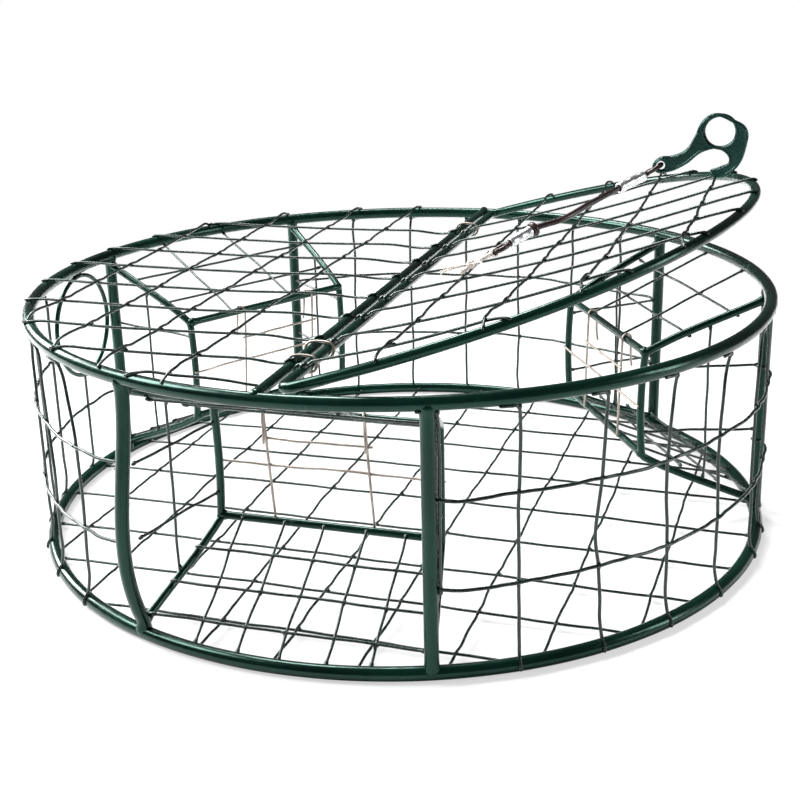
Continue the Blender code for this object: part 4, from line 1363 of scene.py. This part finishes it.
def pulled_in(path, amount):
    """A closed flat path moved to its inner side."""
    ways = np.roll(path, -1, 0) - np.roll(path, 1, 0)
    side = np.stack([-ways[:, 1], ways[:, 0], np.zeros(len(path))], 1)
    side /= np.maximum(np.linalg.norm(side, axis=1), 1e-9)[:, None]
    x, y = path[:, 0], path[:, 1]
    area = np.sum(x * np.roll(y, -1) - np.roll(x, -1) * y)
    return path + side * (amount if area > 0 else -amount)


def cotton_piece():
    """A band of cotton strands from the cord's loop to the lid's net, with its knot and frayed tails."""
    away, side, loop_centre = front_loop()
    tip = loop_centre + away * (FRONT_LOOP_HALF + LOOP_D / 2 + GAP + 2.4)
    wire_u = LID_R * LID_CROSS_WIRES[0]
    wire_v = LID_R * LID_LONG_WIRES[4]
    wire_top = lid_height(wire_u, wire_v) + LAP + WIRE_D / 2
    end = Vector((wire_u, wire_v + 1, wire_top + GAP + 2.6))
    middle = (tip + end) / 2 + Vector((0, 0, 1.5))
    rng = random.Random("cotton")
    bars = Bars(lid_place())
    run = (end - tip).normalized()
    wide = run.cross(UP).normalized()
    for k in range(7):
        turn = 2 * math.pi * k / 7
        path = []
        for step in range(9):
            t = step / 8
            spot = tip * (1 - t) ** 2 + middle * (2 * t * (1 - t)) + end * t**2
            twist = turn + t * 5.5
            out = wide * (1.9 * math.cos(twist)) + UP * (1.5 * math.sin(twist))
            path.append(spot + out * (1 - 0.25 * math.sin(math.pi * t)))
        bars.bar(dense(path, 1.5), 0.95, 8)
    near_loop = loop_centre + away * FRONT_LOOP_HALF
    for k in range(3):
        lean = side * (1.6 * (k - 1))
        ring = wrap(near_loop + lean, away, UP, LOOP_D / 2 + 1.0, 0, 330, drift=side * 1.2, steps=18)
        bars.bar(ring, 0.9, 8)
    knot = middle + Vector((-3, -6, 0))
    for k in range(4):
        first = Vector((rng.uniform(-1, 1), rng.uniform(-1, 1), rng.uniform(-1, 1))).normalized()
        other = first.orthogonal().normalized()
        ring = wrap(knot + first * 0.5, other, other.cross(first), 3.2, 0, 345, steps=18)
        bars.bar(ring, 1.3, 8)
    bars.lump(knot, run, UP, 4.0, 3.4, 3.2, 12, 8)
    for k in range(9):
        drop = rng.uniform(-4, 1.5)
        fan = rng.uniform(-8, 8)
        path = [knot, knot + Vector((-9, -5 + fan * 0.3, 2 + drop * 0.3))]
        path.append(knot + Vector((-17 - rng.uniform(0, 6), -6 + fan * 0.7, 2.6 + drop * 0.6)))
        path.append(knot + Vector((-22 - rng.uniform(0, 8), -6 + fan, 2.5 + drop)))
        bars.bar(dense(path, 2), 0.5, 6)
    tail = [knot, knot + Vector((14, -16, 3)), knot + Vector((25, -44, 1)), knot + Vector((38, -70, 3))]
    bars.bar(dense(tail, 2), 0.8, 8)
    bars.piece("cotton_tie_strands", finish("Tie cotton"), "lid", ["cotton_tie"])


# Stage


def stage_floor():
    half = sizes().floor / 2
    mesh = bpy.data.meshes.new("floor")
    corners = [(-half, -half, 0), (half, -half, 0), (half, half, 0), (-half, half, 0)]
    mesh.from_pydata(corners, [], [(0, 1, 2, 3)])
    floor = bpy.data.objects.new("floor", mesh)
    bpy.context.scene.collection.objects.link(floor)
    floor.location.z = -FLOOR_DROP
    material = bpy.data.materials.new("Floor paper")
    material.use_nodes = True
    tree = material.node_tree
    shader = tree.nodes["Principled BSDF"]
    shader.inputs["Base Color"].default_value = (*colours().floor, 1)
    shader.inputs["Roughness"].default_value = 0.9
    shader.inputs["Specular IOR Level"].default_value = 0.1
    place = node(tree, "ShaderNodeTexCoord").outputs["Object"]
    away = node(tree, "ShaderNodeVectorMath", {0: place}, operation="LENGTH").outputs["Value"]
    rays = node(tree, "ShaderNodeLightPath").outputs
    seen = worked(tree, "MULTIPLY", spread(tree, away, 0.45, 1.2, 0.6, 1.0), rays["Is Camera Ray"])
    white = node(tree, "ShaderNodeEmission", {"Color": WHITE, "Strength": 1.0}).outputs[0]
    mix = node(tree, "ShaderNodeMixShader", {"Fac": seen, 1: shader.outputs[0], 2: white})
    tree.links.new(mix.outputs[0], tree.nodes["Material Output"].inputs["Surface"])
    mesh.materials.append(material)


def area_light(name, place, height, width, length, power):
    data = bpy.data.lights.new(name, "AREA")
    data.shape = "RECTANGLE"
    data.size = width
    data.size_y = length
    data.energy = power
    lamp = bpy.data.objects.new(name, data)
    lamp.location = place
    lamp.rotation_euler = (UP * height - Vector(place)).to_track_quat("-Z", "Y").to_euler()
    bpy.context.scene.collection.objects.link(lamp)


def stage_world():
    world = bpy.data.worlds.new("studio")
    bpy.context.scene.world = world
    world.use_nodes = True
    tree = world.node_tree
    tree.nodes.clear()
    light = node(tree, "ShaderNodeBackground", {"Color": WHITE, "Strength": WORLD_LIGHT}).outputs[0]
    shown = node(tree, "ShaderNodeBackground", {"Color": WHITE, "Strength": 1.0}).outputs[0]
    rays = node(tree, "ShaderNodeLightPath").outputs
    either = worked(tree, "MAXIMUM", rays["Is Camera Ray"], rays["Is Transmission Ray"])
    mix = node(tree, "ShaderNodeMixShader", {"Fac": either, 1: light, 2: shown})
    node(tree, "ShaderNodeOutputWorld", {"Surface": mix.outputs[0]})


def stage_camera():
    data = bpy.data.cameras.new("photo view")
    data.sensor_width = 36.0
    data.lens = CAMERA_LENS
    data.clip_end = 30.0
    camera = bpy.data.objects.new("photo view", data)
    bpy.context.scene.collection.objects.link(camera)
    camera.location = CAMERA_AT
    look = (Vector(CAMERA_TO) - Vector(CAMERA_AT)).to_track_quat("-Z", "Y")
    camera.rotation_mode = "QUATERNION"
    camera.rotation_quaternion = look @ Matrix.Rotation(rad(CAMERA_ROLL), 3, "Z").to_quaternion()
    bpy.context.scene.camera = camera


# Operators and panel


class TRAP_OT_rings(bpy.types.Operator):
    """Build the two rings, the six posts and the crossbar"""

    bl_idname = "trap.rings"
    bl_label = "Rings and posts"

    def execute(self, context):
        ring_bar("base_ring", Z_BASE)
        ring_bar("top_ring", Z_TOP)
        for name, angle in POST_ANGLES.items():
            post_bar(name, angle)
        crossbar_bar()
        return {"FINISHED"}


class TRAP_OT_nets(bpy.types.Operator):
    """Build the nets of the base, the fixed half of the top and the three sides"""

    bl_idname = "trap.nets"
    bl_label = "Nets"

    def execute(self, context):
        base_net_piece()
        top_net_piece()
        side_nets()
        return {"FINISHED"}


class TRAP_OT_entrances(bpy.types.Operator):
    """Build the rods, bars and nets of the three entrances"""

    bl_idname = "trap.entrances"
    bl_label = "Entrances"

    def execute(self, context):
        entrances()
        return {"FINISHED"}


class TRAP_OT_gates(bpy.types.Operator):
    """Build the three hanging gates"""

    bl_idname = "trap.gates"
    bl_label = "Gates"

    def execute(self, context):
        for label, angle in ENTRANCES.items():
            gate_piece(label, entrance_frame(angle))
        return {"FINISHED"}


class TRAP_OT_lid(bpy.types.Operator):
    """Build the lid's frame, its net and the hog rings that hinge it"""

    bl_idname = "trap.lid"
    bl_label = "Lid"

    def execute(self, context):
        lid_frame_piece()
        lid_net_piece()
        for name, share in HOG_RINGS.items():
            hog_ring_piece(name, LID_R * share)
        return {"FINISHED"}


class TRAP_OT_escape(bpy.types.Operator):
    """Build the round escape ring"""

    bl_idname = "trap.escape"
    bl_label = "Escape ring"

    def execute(self, context):
        escape_ring_piece()
        return {"FINISHED"}


class TRAP_OT_closure(bpy.types.Operator):
    """Build the closure cord, its sleeves, stop and hook, and the cotton tie"""

    bl_idname = "trap.closure"
    bl_label = "Closure"

    def execute(self, context):
        fittings = [
            sleeve_piece("ferrule_front", CORD_A, CORD_B),
            sleeve_piece("ferrule_back", CORD_C, CORD_END),
            stop_piece(),
            hook_piece(),
        ]
        cord_pieces()
        cotton_piece()
        return {"FINISHED"}


class TRAP_OT_stage(bpy.types.Operator):
    """Build the floor, the lights and the camera"""

    bl_idname = "trap.stage"
    bl_label = "Stage"

    def execute(self, context):
        stage_camera()
        stage_floor()
        stage_world()
        for lamp in LAMPS:
            area_light(*lamp)
        bpy.context.scene.view_settings.view_transform = "Standard"
        return {"FINISHED"}


class TRAP_PT_panel(bpy.types.Panel):
    """Lists the trap's pieces, sizes and colours"""

    bl_label = "Crab trap"
    bl_idname = "TRAP_PT_panel"
    bl_space_type = "VIEW_3D"
    bl_region_type = "UI"
    bl_category = "Crab trap"

    def draw(self, context):
        layout = self.layout
        for operator in STEPS:
            layout.operator(operator.bl_idname)
        for group in (context.scene.trap_sizes, context.scene.trap_colours):
            box = layout.box()
            for name in group.__annotations__:
                box.prop(group, name)


STEPS = (
    TRAP_OT_stage,
    TRAP_OT_closure,
    TRAP_OT_rings,
    TRAP_OT_nets,
    TRAP_OT_entrances,
    TRAP_OT_gates,
    TRAP_OT_lid,
    TRAP_OT_escape,
)
CLASSES = (TrapSizes, TrapColours, *STEPS, TRAP_PT_panel)


def register():
    for cls in CLASSES:
        bpy.utils.register_class(cls)
    bpy.types.Scene.trap_sizes = bpy.props.PointerProperty(type=TrapSizes)
    bpy.types.Scene.trap_colours = bpy.props.PointerProperty(type=TrapColours)


def unregister():
    del bpy.types.Scene.trap_colours
    del bpy.types.Scene.trap_sizes
    for cls in reversed(CLASSES):
        bpy.utils.unregister_class(cls)


def main():
    register()
    bpy.ops.trap.stage()
    bpy.ops.trap.closure()
    bpy.ops.trap.rings()
    bpy.ops.trap.nets()
    bpy.ops.trap.entrances()
    bpy.ops.trap.gates()
    bpy.ops.trap.lid()
    bpy.ops.trap.escape()


if __name__ == "__main__":
    main()
